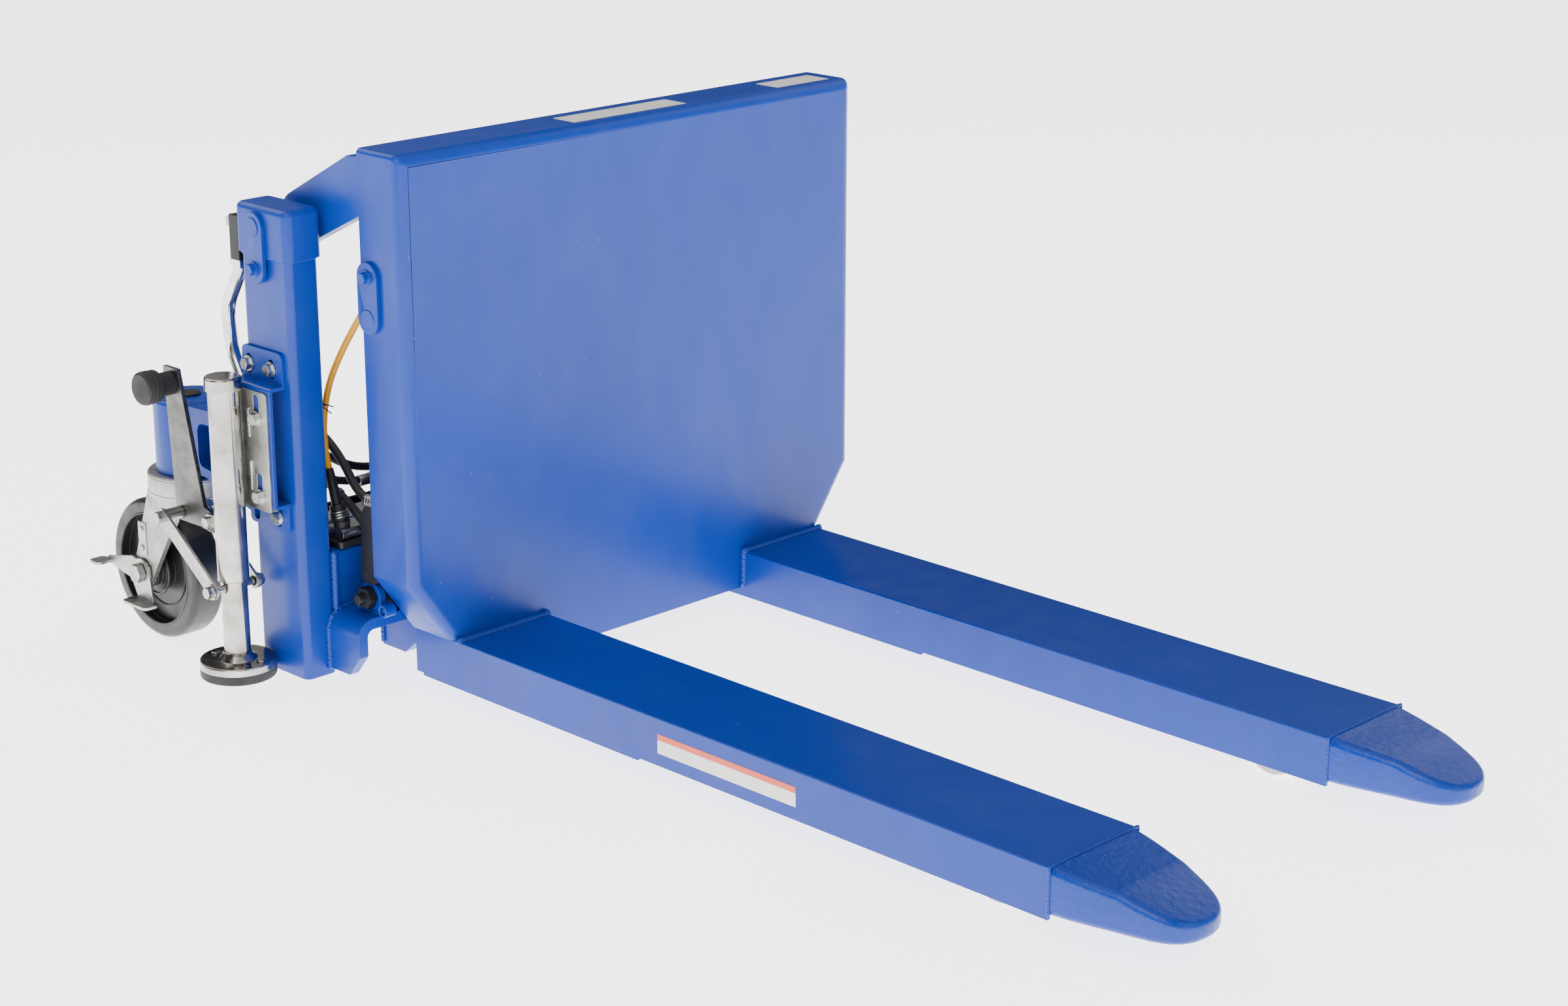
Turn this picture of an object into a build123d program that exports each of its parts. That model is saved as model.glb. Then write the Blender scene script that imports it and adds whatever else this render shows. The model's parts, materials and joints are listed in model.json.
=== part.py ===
"""Portable powered pallet tilter: a wheeled base whose L-shaped carriage (backrest and two forks) swings up
about two pins at the tops of the rear columns.

Design frame while building: X = 0 is the backrest's load face and +X runs along the forks to their tips,
Y = 0 is the mid-plane, Z = 0 is the floor. "Right" is the -Y side, as seen by an operator behind
the columns.
Before writing, everything is shifted so that the origin is the bottom centre of the whole machine's box.
"""
from build123d import *
from math import atan2, cos, degrees, hypot, pi, radians, sin, sqrt, tan
import os

# ---------------------------------------------------------------- fits and common stock
RUNNING_GAP = 0.05          # radial clearance of a pin that turns in its bore
SLIDING_GAP = 0.1           # radial clearance of the lock's stem in its tube
MOVING_GAP = 1.0            # least gap between plates that pass each other
SHEET = 4.8                 # formed sheet of the carriage and the lock bracket
PLACARD_THICKNESS = 0.4

# ---------------------------------------------------------------- forks (carriage)
FORK_OVERALL = 686.4        # outside to outside of the two forks
FORK_WIDTH = 156.6
FORK_TOP = 98.0             # height of the load surface over the floor
FORK_SKIRT = 34.0           # height of the skirt's lower edge
FORK_REAR = -87.0
FORK_LENGTH = 1017.0        # load face to the tip weld
FORK_TIP_LENGTH = 163.0
TIP_SHOULDER_AT = 0.55      # shares of the tip's length and half width at its shoulder
TIP_SHOULDER_WIDTH = 0.78
TIP_CROWN_AT = 0.50
TIP_CROWN_TOP = 88.0
TIP_CROWN_ROUND = 60.0
TIP_NOSE_TOP = 62.0
TIP_BOTTOM = 38.0
TIP_ROUND = 10.0
DOUBLER_THICKNESS = 6.0
DOUBLER_DROP = 7.0          # how far a doubler shows below the skirt
DOUBLER_HEIGHT = 53.0
DOUBLER_START = -80.0
DOUBLER_END = 345.0
ROOT_GROOVE_LENGTH = 2.0    # the weld preparation where the fork's top meets the load face
ROOT_GROOVE_DEPTH = 0.5

# ---------------------------------------------------------------- backrest (carriage)
BACKREST_WIDTH = 823.0
BACKREST_TOP = 757.0
BACKREST_DEPTH = 84.0
BACKREST_BOTTOM = 43.0
BACKREST_CHAMFER_TOP = 186.0
BACKREST_CORNER_RADIUS = 16.0
BACKREST_TOP_RADIUS = 7.0
CHAMFER_FOOT_OVERHANG = 5.0
RIB_THICKNESS = 6.0
RIB_DEPTH = 40.0
RIB_HEIGHTS = (150.0, 400.0, 650.0)
RIB_MARGIN = 183.0          # the backrest's width less the span of its ribs
RIB_SPAN = BACKREST_WIDTH - RIB_MARGIN

# ---------------------------------------------------------------- columns and tilt pivot (base)
COLUMN_X = -205.0           # centre of the column tubes
COLUMN_DEPTH = 101.6
COLUMN_WIDTH = 50.8
COLUMN_WALL = 4.8
COLUMN_CORNER = 10.0
COLUMN_BOTTOM = 36.0
COLUMN_TOP_DROP = 149.0     # backrest's top to the column's top
COLUMN_TOP = BACKREST_TOP - COLUMN_TOP_DROP
COLUMN_GAP = 12.7           # backrest's side to the column's inner face
COLUMN_Y = BACKREST_WIDTH / 2 + COLUMN_GAP + COLUMN_WIDTH / 2
CAP_DEPTH = 112.0
CAP_WIDTH = 58.0
CAP_HEIGHT = 66.0
CAP_ROUND = 9.0
PIVOT_X = -214.0
PIVOT_RISE = 38.0           # column's top to the tilt pin
PIVOT_Z = COLUMN_TOP + PIVOT_RISE
PIVOT_PIN_RADIUS = 12.7
KEEPER_RADIUS = 20.0
KEEPER_THICKNESS = 6.0
KEEPER_BOLT_DROP = 55.0
TILT_RANGE = 90.0

# ---------------------------------------------------------------- tilt arms (carriage)
ARM_THICKNESS = 19.0
ARM_HUB_RADIUS = 36.0
ARM_TOP_DROP = 12.0         # backrest's top to the arm's top, its underside and its root
ARM_UNDERSIDE_DROP = 88.0
ARM_ROOT_DROP = 182.0
ARM_TOP_FRONT = (-104.0, BACKREST_TOP - ARM_TOP_DROP)
ARM_UNDERSIDE_FRONT = (-BACKREST_DEPTH, BACKREST_TOP - ARM_UNDERSIDE_DROP)
ARM_BUSH_WALL = 3.0
ARM_ROOT_DEPTH = 66.0
ARM_ROOT_BOTTOM = BACKREST_TOP - ARM_ROOT_DROP

# ---------------------------------------------------------------- lower frame (base)
BEAM_TOP = 205.0
BEAM_WALL = 6.0
CROSS_PLATE = 15.9
CROSS_TOP = 126.0
BEAM_BOTTOM = CROSS_TOP - CROSS_PLATE
CROSS_FRONT = -88.0
CROSS_FLANGE_BOTTOM = 46.0
CROSS_BEND = 26.0
CROSS_INSET = 8.4           # the fork's inner side to the cross member's inner end
CROSS_INNER_Y = FORK_OVERALL / 2 - FORK_WIDTH + CROSS_INSET
CROSS_CORNER_CUT = (24.0, 30.0)
LEG_ROOM = 28.6             # the fork's width less the leg's
LEG_WIDTH = FORK_WIDTH - LEG_ROOM
LEG_TOP = 90.0
LEG_BOTTOM = 63.0
LEG_WALL = 6.0
LEG_SETBACK = 165.0         # the fork's end to the leg tube's end
LEG_END = FORK_LENGTH - LEG_SETBACK
LEG_BLOCK_REAR = -178.0
LEG_BLOCK_BOTTOM = 45.0
LEG_BLOCK_FRONT = -130.0
LEG_RAMP = 21.0
LEG_BLOCK_END = -95.0

# ---------------------------------------------------------------- load rollers
ROLLER_RADIUS = 38.0
ROLLER_ROOM = 69.2          # the leg's width less the roller's
ROLLER_WIDTH = LEG_WIDTH - ROLLER_ROOM
ROLLER_SETBACK = 117.0      # the fork's end to the roller's axle
ROLLER_X = FORK_LENGTH - ROLLER_SETBACK
ROLLER_AXLE_RADIUS = 8.0
ROLLER_HUB_RADIUS = 16.0
ROLLER_CHEEK = 18.0
ROLLER_CHEEK_BOTTOM = 27.0
ROLLER_CHEEK_REACH = 35.0

# ---------------------------------------------------------------- lift cylinders
CYLINDER_INSET = 41.5       # backrest's side to the cylinder's centre
CYLINDER_Y = BACKREST_WIDTH / 2 - CYLINDER_INSET
CYLINDER_FOOT = (-110.0, 148.0)
CYLINDER_HEAD = (-66.0, 538.0)
BARREL_RADIUS = 20.0
BARREL_WALL = 3.5
BARREL_LENGTH = 350.0
EYE_RADIUS = 19.5
EYE_WIDTH = 32.0
ROD_RADIUS = 11.0
FOOT_PIN_RADIUS = 9.5
FOOT_NUT_WIDTH = 27.0       # across the flats
FOOT_STUD_RADIUS = 7.5
HEAD_PIN_RADIUS = 12.7
LUG_THICKNESS = 10.0
OPEN_PIVOT_GAP = 2.0
GLAND_LENGTH = 26.0
PISTON_LENGTH = 24.0

# ---------------------------------------------------------------- casters
CASTER_X = -449.0
CASTER_INSET = 13.6         # the column's centre to the kingpin
CASTER_Y = COLUMN_Y - CASTER_INSET
CASTER_TRAIL = 78.0
WHEEL_RADIUS = 101.6
WHEEL_WIDTH = 50.8
WHEEL_HUB_RADIUS = 24.0
WHEEL_TREAD_ROUND = 9.0
AXLE_RADIUS = 8.0
RACE_RADIUS = 64.0
RACE_BOTTOM = 222.0
RACE_HEIGHT = 41.0
YOKE_PLATE = 8.0
YOKE_INSIDE = 68.0
MOUNT_BOTTOM = 264.0
MOUNT_TOP = 368.0
MOUNT_HUB_RADIUS = 51.0
MOUNT_ARM_WIDTH = 66.0
KINGPIN_RADIUS = 12.5
BRAKE_PLATE = 4.0
BRAKE_TRAVEL = 12.0
BRAKE_REACH = 99.0          # axle to the rear tab's tip: the tab passes the column at any swivel

# ---------------------------------------------------------------- floor lock
LOCK_X = -235.0
LOCK_STANDOFF = 53.0        # the column's outer face to the lock's centre
LOCK_Y = -COLUMN_Y - COLUMN_WIDTH / 2 - LOCK_STANDOFF
LOCK_TUBE_RADIUS = 21.0
LOCK_TUBE_WALL = 3.0
LOCK_TUBE_BOTTOM = 174.0
LOCK_TUBE_TOP = 445.0
LOCK_CAP_RADIUS = 24.5
LOCK_CAP_HEIGHT = 18.0
STEM_WALL = 3.0
STEM_TOP = 300.0
SLOT_WIDTH = 12.0
FOOT_RADIUS = 51.0
FOOT_THICKNESS = 10.0
RIVET_RADIUS = 3.5
PAD_THICKNESS = 13.0
PAD_CLEARANCE = 40.0        # pad to floor when the lock is released
LOCK_BOLT_RADIUS = 5.0
LOCK_PIVOT_DROP = 10.0      # cross bolt below the tube's end
FULCRUM = (-275.0, 245.0)
KNEE = (-343.0, 244.0)
PEDAL_PLATE = 6.0
PEDAL_PAD_AT = (-350.0, 422.0)
PEDAL_PAD_RADIUS = 22.5
LINK_PLATE = 4.0
LINK_OFFSET = 35.0
LINK_WIDTH = 22.0
OPEN_LINK_HOLE = 7.2        # the links' open pivot: a hole wide enough for the driven cross bolt
SPRING_WIRE = 2.2
SPRING_RADIUS = 11.0
SPRING_PITCH = 6.6
BRACKET_WIDTH = 86.0
BRACKET_X = -214.0
BRACKET_TOP = 484.0
BRACKET_BOTTOM = 240.0
BRACKET_STEP = 26.0
BRACKET_WEB_TOP = 441.0
BRACKET_WEB_BOTTOM = 276.0
CLAMP_PLATE = 3.2

# ---------------------------------------------------------------- power unit
DECK_THICKNESS = 6.0
DECK_REAR = -480.0
DECK_HALF_WIDTH = 240.0
JUNCTION_HEIGHT = 9.0
VALVE_OUTER = 32.0          # reach of the flow block beyond the cylinder's centre, and short of it
VALVE_INNER = 80.0
JUNCTION_OUTER = 40.0
JUNCTION_INNER = 86.0
PLUG_OFFSET = 21.0          # the cylinder's centre to the cable's plug
HOSE_RADIUS = 6.0
CABLE_RADIUS = 4.5

# ---------------------------------------------------------------- derived places
fork_outer_y = FORK_OVERALL / 2
fork_inner_y = fork_outer_y - FORK_WIDTH
fork_mid_y = (fork_outer_y + fork_inner_y) / 2
side_face_y = BACKREST_WIDTH / 2
column_outer_y = COLUMN_Y + COLUMN_WIDTH / 2
column_inner_y = COLUMN_Y - COLUMN_WIDTH / 2
column_front = COLUMN_X + COLUMN_DEPTH / 2
column_rear = COLUMN_X - COLUMN_DEPTH / 2
cap_outer_y = COLUMN_Y + CAP_WIDTH / 2
cap_inner_y = COLUMN_Y - CAP_WIDTH / 2
cross_outer_y = column_inner_y + CROSS_PLATE - 2.0
caster_wheel_x = CASTER_X - CASTER_TRAIL
lug_outer_y = CYLINDER_Y + EYE_WIDTH / 2 + OPEN_PIVOT_GAP
lug_inner_y = CYLINDER_Y - EYE_WIDTH / 2 - OPEN_PIVOT_GAP
stem_radius = LOCK_TUBE_RADIUS - LOCK_TUBE_WALL - SLIDING_GAP
foot_top = PAD_CLEARANCE + PAD_THICKNESS + FOOT_THICKNESS
cross_bolt_z = LOCK_TUBE_BOTTOM - LOCK_PIVOT_DROP

nodes = {}


# ================================================================ helpers
def block(x0, x1, y0, y1, z0, z1):
    """A box between two corners."""
    return Pos((x0 + x1) / 2, (y0 + y1) / 2, (z0 + z1) / 2) * Box(x1 - x0, y1 - y0, z1 - z0)


def rod_y(radius, y0, y1, x, z):
    """A cylinder along Y."""
    return Pos(x, (y0 + y1) / 2, z) * Rot(90, 0, 0) * Cylinder(radius, abs(y1 - y0))


def rod_z(radius, z0, z1, x, y):
    """A cylinder along Z."""
    return Pos(x, y, (z0 + z1) / 2) * Cylinder(radius, z1 - z0)


def rod_between(radius, start, end):
    """A cylinder from one point to another."""
    plane = Plane(origin=start, z_dir=Vector(*end) - Vector(*start))
    length = (Vector(*end) - Vector(*start)).length
    return extrude(plane * Circle(radius), length)


def plate_xz(points, y0, y1):
    """A plate with its outline in the XZ plane, from y0 to y1."""
    outline = [(x, 0.0, z) for x, z in points]
    face = make_face(Polyline(*outline, close=True))
    return Pos(0, min(y0, y1), 0) * extrude(face, abs(y1 - y0), dir=(0, 1, 0))


def plate_yz(points, x0, x1):
    """A plate with its outline in the YZ plane, from x0 to x1."""
    outline = [(0.0, y, z) for y, z in points]
    face = make_face(Polyline(*outline, close=True))
    return Pos(min(x0, x1), 0, 0) * extrude(face, abs(x1 - x0), dir=(1, 0, 0))


def plate_xy(points, z0, z1):
    """A plate with its outline in the XY plane, from z0 to z1."""
    outline = [(x, y, 0.0) for x, y in points]
    face = make_face(Polyline(*outline, close=True))
    return Pos(0, 0, z0) * extrude(face, z1 - z0, dir=(0, 0, 1))


def hexagon_y(across, y0, y1, x, z):
    """A hexagonal head or nut along Y; across is its width over the flats."""
    face = Plane.XZ * RegularPolygon(across / 2, 6, major_radius=False)
    return Pos(x, max(y0, y1), z) * extrude(face, abs(y1 - y0))


def flange_bolt_y(x, z, seat_y, out):
    """A hexagon flange bolt head on a face at seat_y; out is -1 or +1 along Y."""
    flange = rod_y(10.5, seat_y, seat_y + out * 2.0, x, z)
    head = hexagon_y(14.0, seat_y + out * 2.0, seat_y + out * 9.0, x, z)
    return flange + head


def mirrored(shape):
    """The same shape on the +Y side."""
    return mirror(shape, Plane.XZ)


def pair(shape):
    """A right-hand shape and its mirror image, as separate solids."""
    return Compound(list(shape.solids()) + list(mirrored(shape).solids()))


def group(*shapes):
    """Several pieces in one node, as separate solids."""
    solids = []
    for shape in shapes:
        solids += list(shape.solids())
    return Compound(solids)


def obround_xz(radius, length, y0, y1, x, z):
    """A plate with round ends: its top centre is (x, z) and it hangs down by length."""
    body = block(x - radius, x + radius, min(y0, y1), max(y0, y1), z - length, z)
    return body + rod_y(radius, y0, y1, x, z) + rod_y(radius, y0, y1, x, z - length)


def cord(points, radius, name):
    """A tube along straight runs and tangent arcs, each arc as large as its two runs allow."""
    route = [Vector(*point) for point in points]
    radii = []
    for before, here, after in zip(route, route[1:], route[2:]):
        first = here - before
        second = after - here
        turn = radians(first.get_angle(second))
        radii.append(0.45 * min(first.length, second.length) / tan(turn / 2))
    path = FilletPolyline(*points, radius=radii)
    section = Plane(origin=route[0], z_dir=route[1] - route[0]) * Circle(radius)
    tube = sweep(section, path=path)
    expected = pi * radius ** 2 * path.length
    print(f"{name}: length {path.length:.0f} mm, radii {[round(r) for r in radii]},",
          f"volume {tube.volume / expected:.3f} of section x length")
    return tube


# ================================================================ base frame
def column():
    tube = block(column_rear, column_front, -column_outer_y, -column_inner_y, COLUMN_BOTTOM, COLUMN_TOP)
    tube = fillet(tube.edges().filter_by(Axis.Z), COLUMN_CORNER)
    wall = COLUMN_WALL
    bore = block(column_rear + wall, column_front - wall, -column_outer_y + wall, -column_inner_y - wall,
                 COLUMN_BOTTOM - 1, COLUMN_TOP + 1)
    bore = fillet(bore.edges().filter_by(Axis.Z), COLUMN_CORNER - wall)
    return tube - bore


def column_cap():
    cap_x0 = COLUMN_X - CAP_DEPTH / 2
    cap_x1 = COLUMN_X + CAP_DEPTH / 2
    cap = block(cap_x0, cap_x1, -cap_outer_y, -cap_inner_y, COLUMN_TOP, COLUMN_TOP + CAP_HEIGHT)
    cap = fillet(cap.edges().filter_by(Axis.Z), COLUMN_CORNER + 2)
    cap = fillet(cap.faces().sort_by(Axis.Z)[-1].edges(), CAP_ROUND)
    bore = rod_y(PIVOT_PIN_RADIUS, -cap_outer_y - 1, -cap_inner_y + 1, PIVOT_X, PIVOT_Z)
    return cap - bore


def tilt_pin():
    """A flag pin: the pin and its keeper plate are welded into one piece, and a boss spaces the arm."""
    keeper_y = -cap_outer_y - KEEPER_THICKNESS
    keeper = obround_xz(KEEPER_RADIUS, KEEPER_BOLT_DROP, keeper_y, -cap_outer_y, PIVOT_X, PIVOT_Z)
    arm_inner_y = side_face_y - ARM_THICKNESS
    pin = rod_y(PIVOT_PIN_RADIUS, keeper_y - 1.5, -arm_inner_y + 4, PIVOT_X, PIVOT_Z)
    spacer = rod_y(ARM_HUB_RADIUS - 12, -cap_inner_y, -side_face_y - MOVING_GAP, PIVOT_X, PIVOT_Z)
    return keeper + pin + spacer


def keeper_bolt():
    return flange_bolt_y(PIVOT_X, PIVOT_Z - KEEPER_BOLT_DROP, -cap_outer_y - KEEPER_THICKNESS, -1)


def rear_beam():
    outer = block(column_rear + 2, column_front, -column_inner_y, column_inner_y, BEAM_BOTTOM, BEAM_TOP)
    inner = block(column_rear + 2 + BEAM_WALL, column_front - BEAM_WALL, -column_inner_y - 1,
                  column_inner_y + 1, BEAM_BOTTOM + BEAM_WALL, BEAM_TOP - BEAM_WALL)
    return fillet(outer.edges().filter_by(Axis.Y), 8.0) - inner


def cross_member():
    """The thick bent plate that ties column, beam and leg: a web with a flange down its outer side."""
    outer = -cross_outer_y
    web_bottom = CROSS_TOP - CROSS_PLATE
    profile = plate_yz([
        (outer, CROSS_FLANGE_BOTTOM), (outer, CROSS_TOP), (-CROSS_INNER_Y, CROSS_TOP),
        (-CROSS_INNER_Y, web_bottom), (outer + CROSS_PLATE, web_bottom),
        (outer + CROSS_PLATE, CROSS_FLANGE_BOTTOM)], column_front, CROSS_FRONT)
    along = profile.edges().filter_by(Axis.X)
    bend_out = [e for e in along if abs(e.center().Y - outer) < 0.1 and e.center().Z > CROSS_TOP - 1]
    profile = fillet(bend_out, CROSS_BEND)
    along = profile.edges().filter_by(Axis.X)
    inner_face = outer + CROSS_PLATE
    bend_in = [e for e in along if abs(e.center().Y - inner_face) < 0.1 and e.center().Z > web_bottom - 1]
    profile = fillet(bend_in, CROSS_BEND - CROSS_PLATE)
    cut_x, cut_z = CROSS_CORNER_CUT
    corner = plate_xz([
        (CROSS_FRONT - cut_x, CROSS_FLANGE_BOTTOM - 1), (CROSS_FRONT + 1, CROSS_FLANGE_BOTTOM - 1),
        (CROSS_FRONT + 1, CROSS_FLANGE_BOTTOM + cut_z)], outer - 1, outer + CROSS_PLATE + 1)
    return profile - corner


def base_leg():
    """One leg of the base: a deep rear block under the cross member, then a flat tube inside the fork."""
    outer = -fork_mid_y - LEG_WIDTH / 2
    inner = -fork_mid_y + LEG_WIDTH / 2
    web_bottom = CROSS_TOP - CROSS_PLATE
    leg = plate_xz([
        (LEG_BLOCK_REAR, LEG_BLOCK_BOTTOM), (LEG_BLOCK_FRONT, LEG_BLOCK_BOTTOM),
        (LEG_BLOCK_FRONT + LEG_RAMP, LEG_BOTTOM), (LEG_END, LEG_BOTTOM), (LEG_END, LEG_TOP),
        (LEG_BLOCK_END, LEG_TOP), (LEG_BLOCK_END, web_bottom), (LEG_BLOCK_REAR, web_bottom)], outer, inner)
    hollow = block(LEG_BLOCK_END, LEG_END + 1, outer + LEG_WALL, inner - LEG_WALL,
                   LEG_BOTTOM + LEG_WALL, LEG_TOP - LEG_WALL)
    leg = leg - hollow
    reach = ROLLER_CHEEK_REACH
    toe = LEG_END - 8
    cheek = [(toe, LEG_BOTTOM), (toe, ROLLER_CHEEK_BOTTOM + 8), (LEG_END, ROLLER_CHEEK_BOTTOM),
             (ROLLER_X + reach - 10, ROLLER_CHEEK_BOTTOM), (ROLLER_X + reach, ROLLER_CHEEK_BOTTOM + 12),
             (ROLLER_X + reach, LEG_TOP), (toe, LEG_TOP)]
    for side, start in ((outer, outer), (inner, inner - ROLLER_CHEEK)):
        leg = leg + plate_xz(cheek, start, start + ROLLER_CHEEK)
    axle_bore = rod_y(ROLLER_AXLE_RADIUS, outer - 1, inner + 1, ROLLER_X, ROLLER_RADIUS)
    return leg - axle_bore


def roller_axle():
    half = LEG_WIDTH / 2
    axle = rod_y(ROLLER_AXLE_RADIUS, -fork_mid_y - half, -fork_mid_y + half, ROLLER_X, ROLLER_RADIUS)
    return chamfer(axle.edges(), 0.8)


def cylinder_lugs():
    """Two lug plates on the cross member for the cylinder's foot pin, the outer one with a grease boss."""
    foot_x, foot_z = CYLINDER_FOOT
    rear = foot_x - 26
    base = [(rear, CROSS_TOP), (CROSS_FRONT, CROSS_TOP), (CROSS_FRONT, CROSS_TOP + 14),
            (foot_x + 12, foot_z + 16), (foot_x - 14, foot_z + 16)]
    lugs = []
    for y0 in (-lug_outer_y - LUG_THICKNESS, -lug_inner_y):
        lug = plate_xz(base, y0, y0 + LUG_THICKNESS) + rod_y(20.0, y0, y0 + LUG_THICKNESS, foot_x, foot_z)
        lugs.append(lug - rod_y(FOOT_PIN_RADIUS, y0 - 1, y0 + LUG_THICKNESS + 1, foot_x, foot_z))
    boss_x = CROSS_FRONT + 11
    boss_z = CROSS_TOP + 10
    boss = rod_y(9.0, -lug_outer_y - LUG_THICKNESS - 8, -lug_outer_y, boss_x, boss_z)
    boss = boss - rod_y(5.5, -lug_outer_y - LUG_THICKNESS - 9, -lug_outer_y - LUG_THICKNESS - 2, boss_x,
                        boss_z)
    fitting = rod_y(2.5, -lug_outer_y - LUG_THICKNESS - 6, -lug_outer_y - LUG_THICKNESS - 2, boss_x, boss_z)
    return group(lugs[0] + boss + fitting, lugs[1])


def foot_pin():
    """The cylinder's foot bolt, with its nut outside the outer lug."""
    foot_x, foot_z = CYLINDER_FOOT
    outer = -lug_outer_y - LUG_THICKNESS
    inner = -lug_inner_y + LUG_THICKNESS
    bolt = rod_y(FOOT_PIN_RADIUS, outer - 10, inner, foot_x, foot_z)
    stud = chamfer(rod_y(FOOT_STUD_RADIUS, outer - 24, outer - 9, foot_x, foot_z).edges(), 1.0)
    head = hexagon_y(FOOT_NUT_WIDTH, inner, inner + 10, foot_x, foot_z)
    nut = hexagon_y(FOOT_NUT_WIDTH, outer - 13, outer, foot_x, foot_z)
    return bolt + stud + head + nut


def cylinder_guard():
    """A thin folded guard beside the cylinder's foot that keeps the hose end off the backrest."""
    foot_x, foot_z = CYLINDER_FOOT
    y0 = -lug_outer_y - LUG_THICKNESS - 3
    outline = [(foot_x - 10, foot_z + 18), (foot_x + 10, foot_z + 18), (foot_x + 20, foot_z + 24),
               (foot_x + 20, foot_z + 126), (foot_x - 2, foot_z + 126), (foot_x - 10, foot_z + 114),
               (foot_x - 14, foot_z + 24)]
    guard = plate_xz(outline, y0, y0 + 3)
    rivet = rod_y(3.0, y0 - 1.2, y0, foot_x - 6, foot_z + 34)
    return guard + rivet


# ================================================================ carriage
def backrest_outline(inset):
    """The backrest's outline in YZ, moved inwards by a wall; the open bottom runs down and out."""
    top = BACKREST_TOP - inset
    side = side_face_y - inset
    foot = fork_outer_y + CHAMFER_FOOT_OVERHANG
    slope = hypot(side_face_y - foot, BACKREST_CHAMFER_TOP - FORK_TOP)
    shift = inset * slope / (BACKREST_CHAMFER_TOP - FORK_TOP)
    rise = (BACKREST_CHAMFER_TOP - FORK_TOP) / (side_face_y - foot)
    lower_side = BACKREST_CHAMFER_TOP + (shift - inset) * rise
    half = [(foot - shift, FORK_TOP), (side, lower_side), (side, top)]
    return half


def backrest():
    """The formed box: load face, top, sides and lower corner plates, open behind and below."""
    outer = backrest_outline(0.0)
    inner = backrest_outline(SHEET)
    bottom = [(-fork_inner_y, FORK_TOP), (-fork_inner_y, BACKREST_BOTTOM),
              (fork_inner_y, BACKREST_BOTTOM), (fork_inner_y, FORK_TOP)]
    outline = bottom + outer + [(-y, z) for y, z in reversed(outer)]
    shell = plate_yz(outline, -BACKREST_DEPTH, 0)
    top_sides = [e for e in shell.edges().filter_by(Axis.X) if e.center().Z > BACKREST_TOP - 1]
    shell = fillet(top_sides, BACKREST_TOP_RADIUS)
    rounded = [e for e in shell.edges() if abs(e.center().X) < 0.01 and e.center().Z > FORK_TOP + 5]
    shell = fillet(rounded, BACKREST_CORNER_RADIUS)
    below = BACKREST_BOTTOM - 5
    pocket_line = [(-inner[0][0], below), (inner[0][0], below)] + inner
    pocket_line = pocket_line + [(-y, z) for y, z in reversed(inner)]
    pocket = plate_yz(pocket_line, -BACKREST_DEPTH - 5, -SHEET)
    behind_face = [e for e in pocket.edges() if abs(e.center().X + SHEET) < 0.01]
    front_bends = [e for e in behind_face if e.center().Z > FORK_TOP + 5]
    pocket = fillet(front_bends, BACKREST_CORNER_RADIUS - SHEET)
    head_x, head_z = CYLINDER_HEAD
    pin_hole = rod_y(HEAD_PIN_RADIUS, -side_face_y - 1, side_face_y + 1, head_x, head_z)
    return shell - pocket - pin_hole


def backrest_ribs():
    half = RIB_SPAN / 2
    front = -SHEET
    solids = []
    for z in RIB_HEIGHTS:
        solids.append(block(front - RIB_DEPTH, front, -half, half, z, z + RIB_THICKNESS))
    for y in (-half - RIB_THICKNESS, half):
        solids.append(block(-BACKREST_DEPTH + 6, front, y, y + RIB_THICKNESS, RIB_HEIGHTS[0],
                            BACKREST_TOP - BACKREST_CORNER_RADIUS - 2))
    return group(*solids)


def tilt_arm():
    """A thick arm, flush with the backrest's side, from the tilt pin into the backrest's top corner."""
    top_x, top_z = ARM_TOP_FRONT
    low_x, low_z = ARM_UNDERSIDE_FRONT
    rear = -BACKREST_DEPTH

    def tangent(px, pz, sign):
        """Where the line from a point touches the hub circle."""
        dx = PIVOT_X - px
        dz = PIVOT_Z - pz
        far = hypot(dx, dz)
        swing = sign * degrees(atan2(ARM_HUB_RADIUS, sqrt(far ** 2 - ARM_HUB_RADIUS ** 2)))
        angle = radians(degrees(atan2(dz, dx)) + swing)
        reach = sqrt(far ** 2 - ARM_HUB_RADIUS ** 2)
        return px + reach * cos(angle), pz + reach * sin(angle)

    upper = tangent(top_x, top_z, -1)
    lower = tangent(low_x, low_z, 1)
    outside = [upper, (top_x, top_z), (rear, top_z + 1), (rear, low_z), lower, (PIVOT_X, PIVOT_Z)]
    y0 = -side_face_y
    hub = rod_y(ARM_HUB_RADIUS, y0, y0 + ARM_THICKNESS, PIVOT_X, PIVOT_Z)
    arm = plate_xz(outside, y0, y0 + ARM_THICKNESS) + hub
    root = block(rear - 20, rear + ARM_ROOT_DEPTH, y0 + SHEET, y0 + ARM_THICKNESS, low_z + 4, top_z - 4)
    root = root + block(rear, rear + ARM_ROOT_DEPTH, y0 + SHEET, y0 + ARM_THICKNESS, ARM_ROOT_BOTTOM,
                        top_z - 4)
    arm = arm + root
    bore = rod_y(PIVOT_PIN_RADIUS + ARM_BUSH_WALL, y0 - 1, y0 + ARM_THICKNESS + 1, PIVOT_X, PIVOT_Z)
    return arm - bore


def arm_bush():
    y0 = -side_face_y
    bush = rod_y(PIVOT_PIN_RADIUS + ARM_BUSH_WALL, y0, y0 + ARM_THICKNESS, PIVOT_X, PIVOT_Z)
    return bush - rod_y(PIVOT_PIN_RADIUS + RUNNING_GAP, y0 - 1, y0 + ARM_THICKNESS + 1, PIVOT_X, PIVOT_Z)


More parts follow.
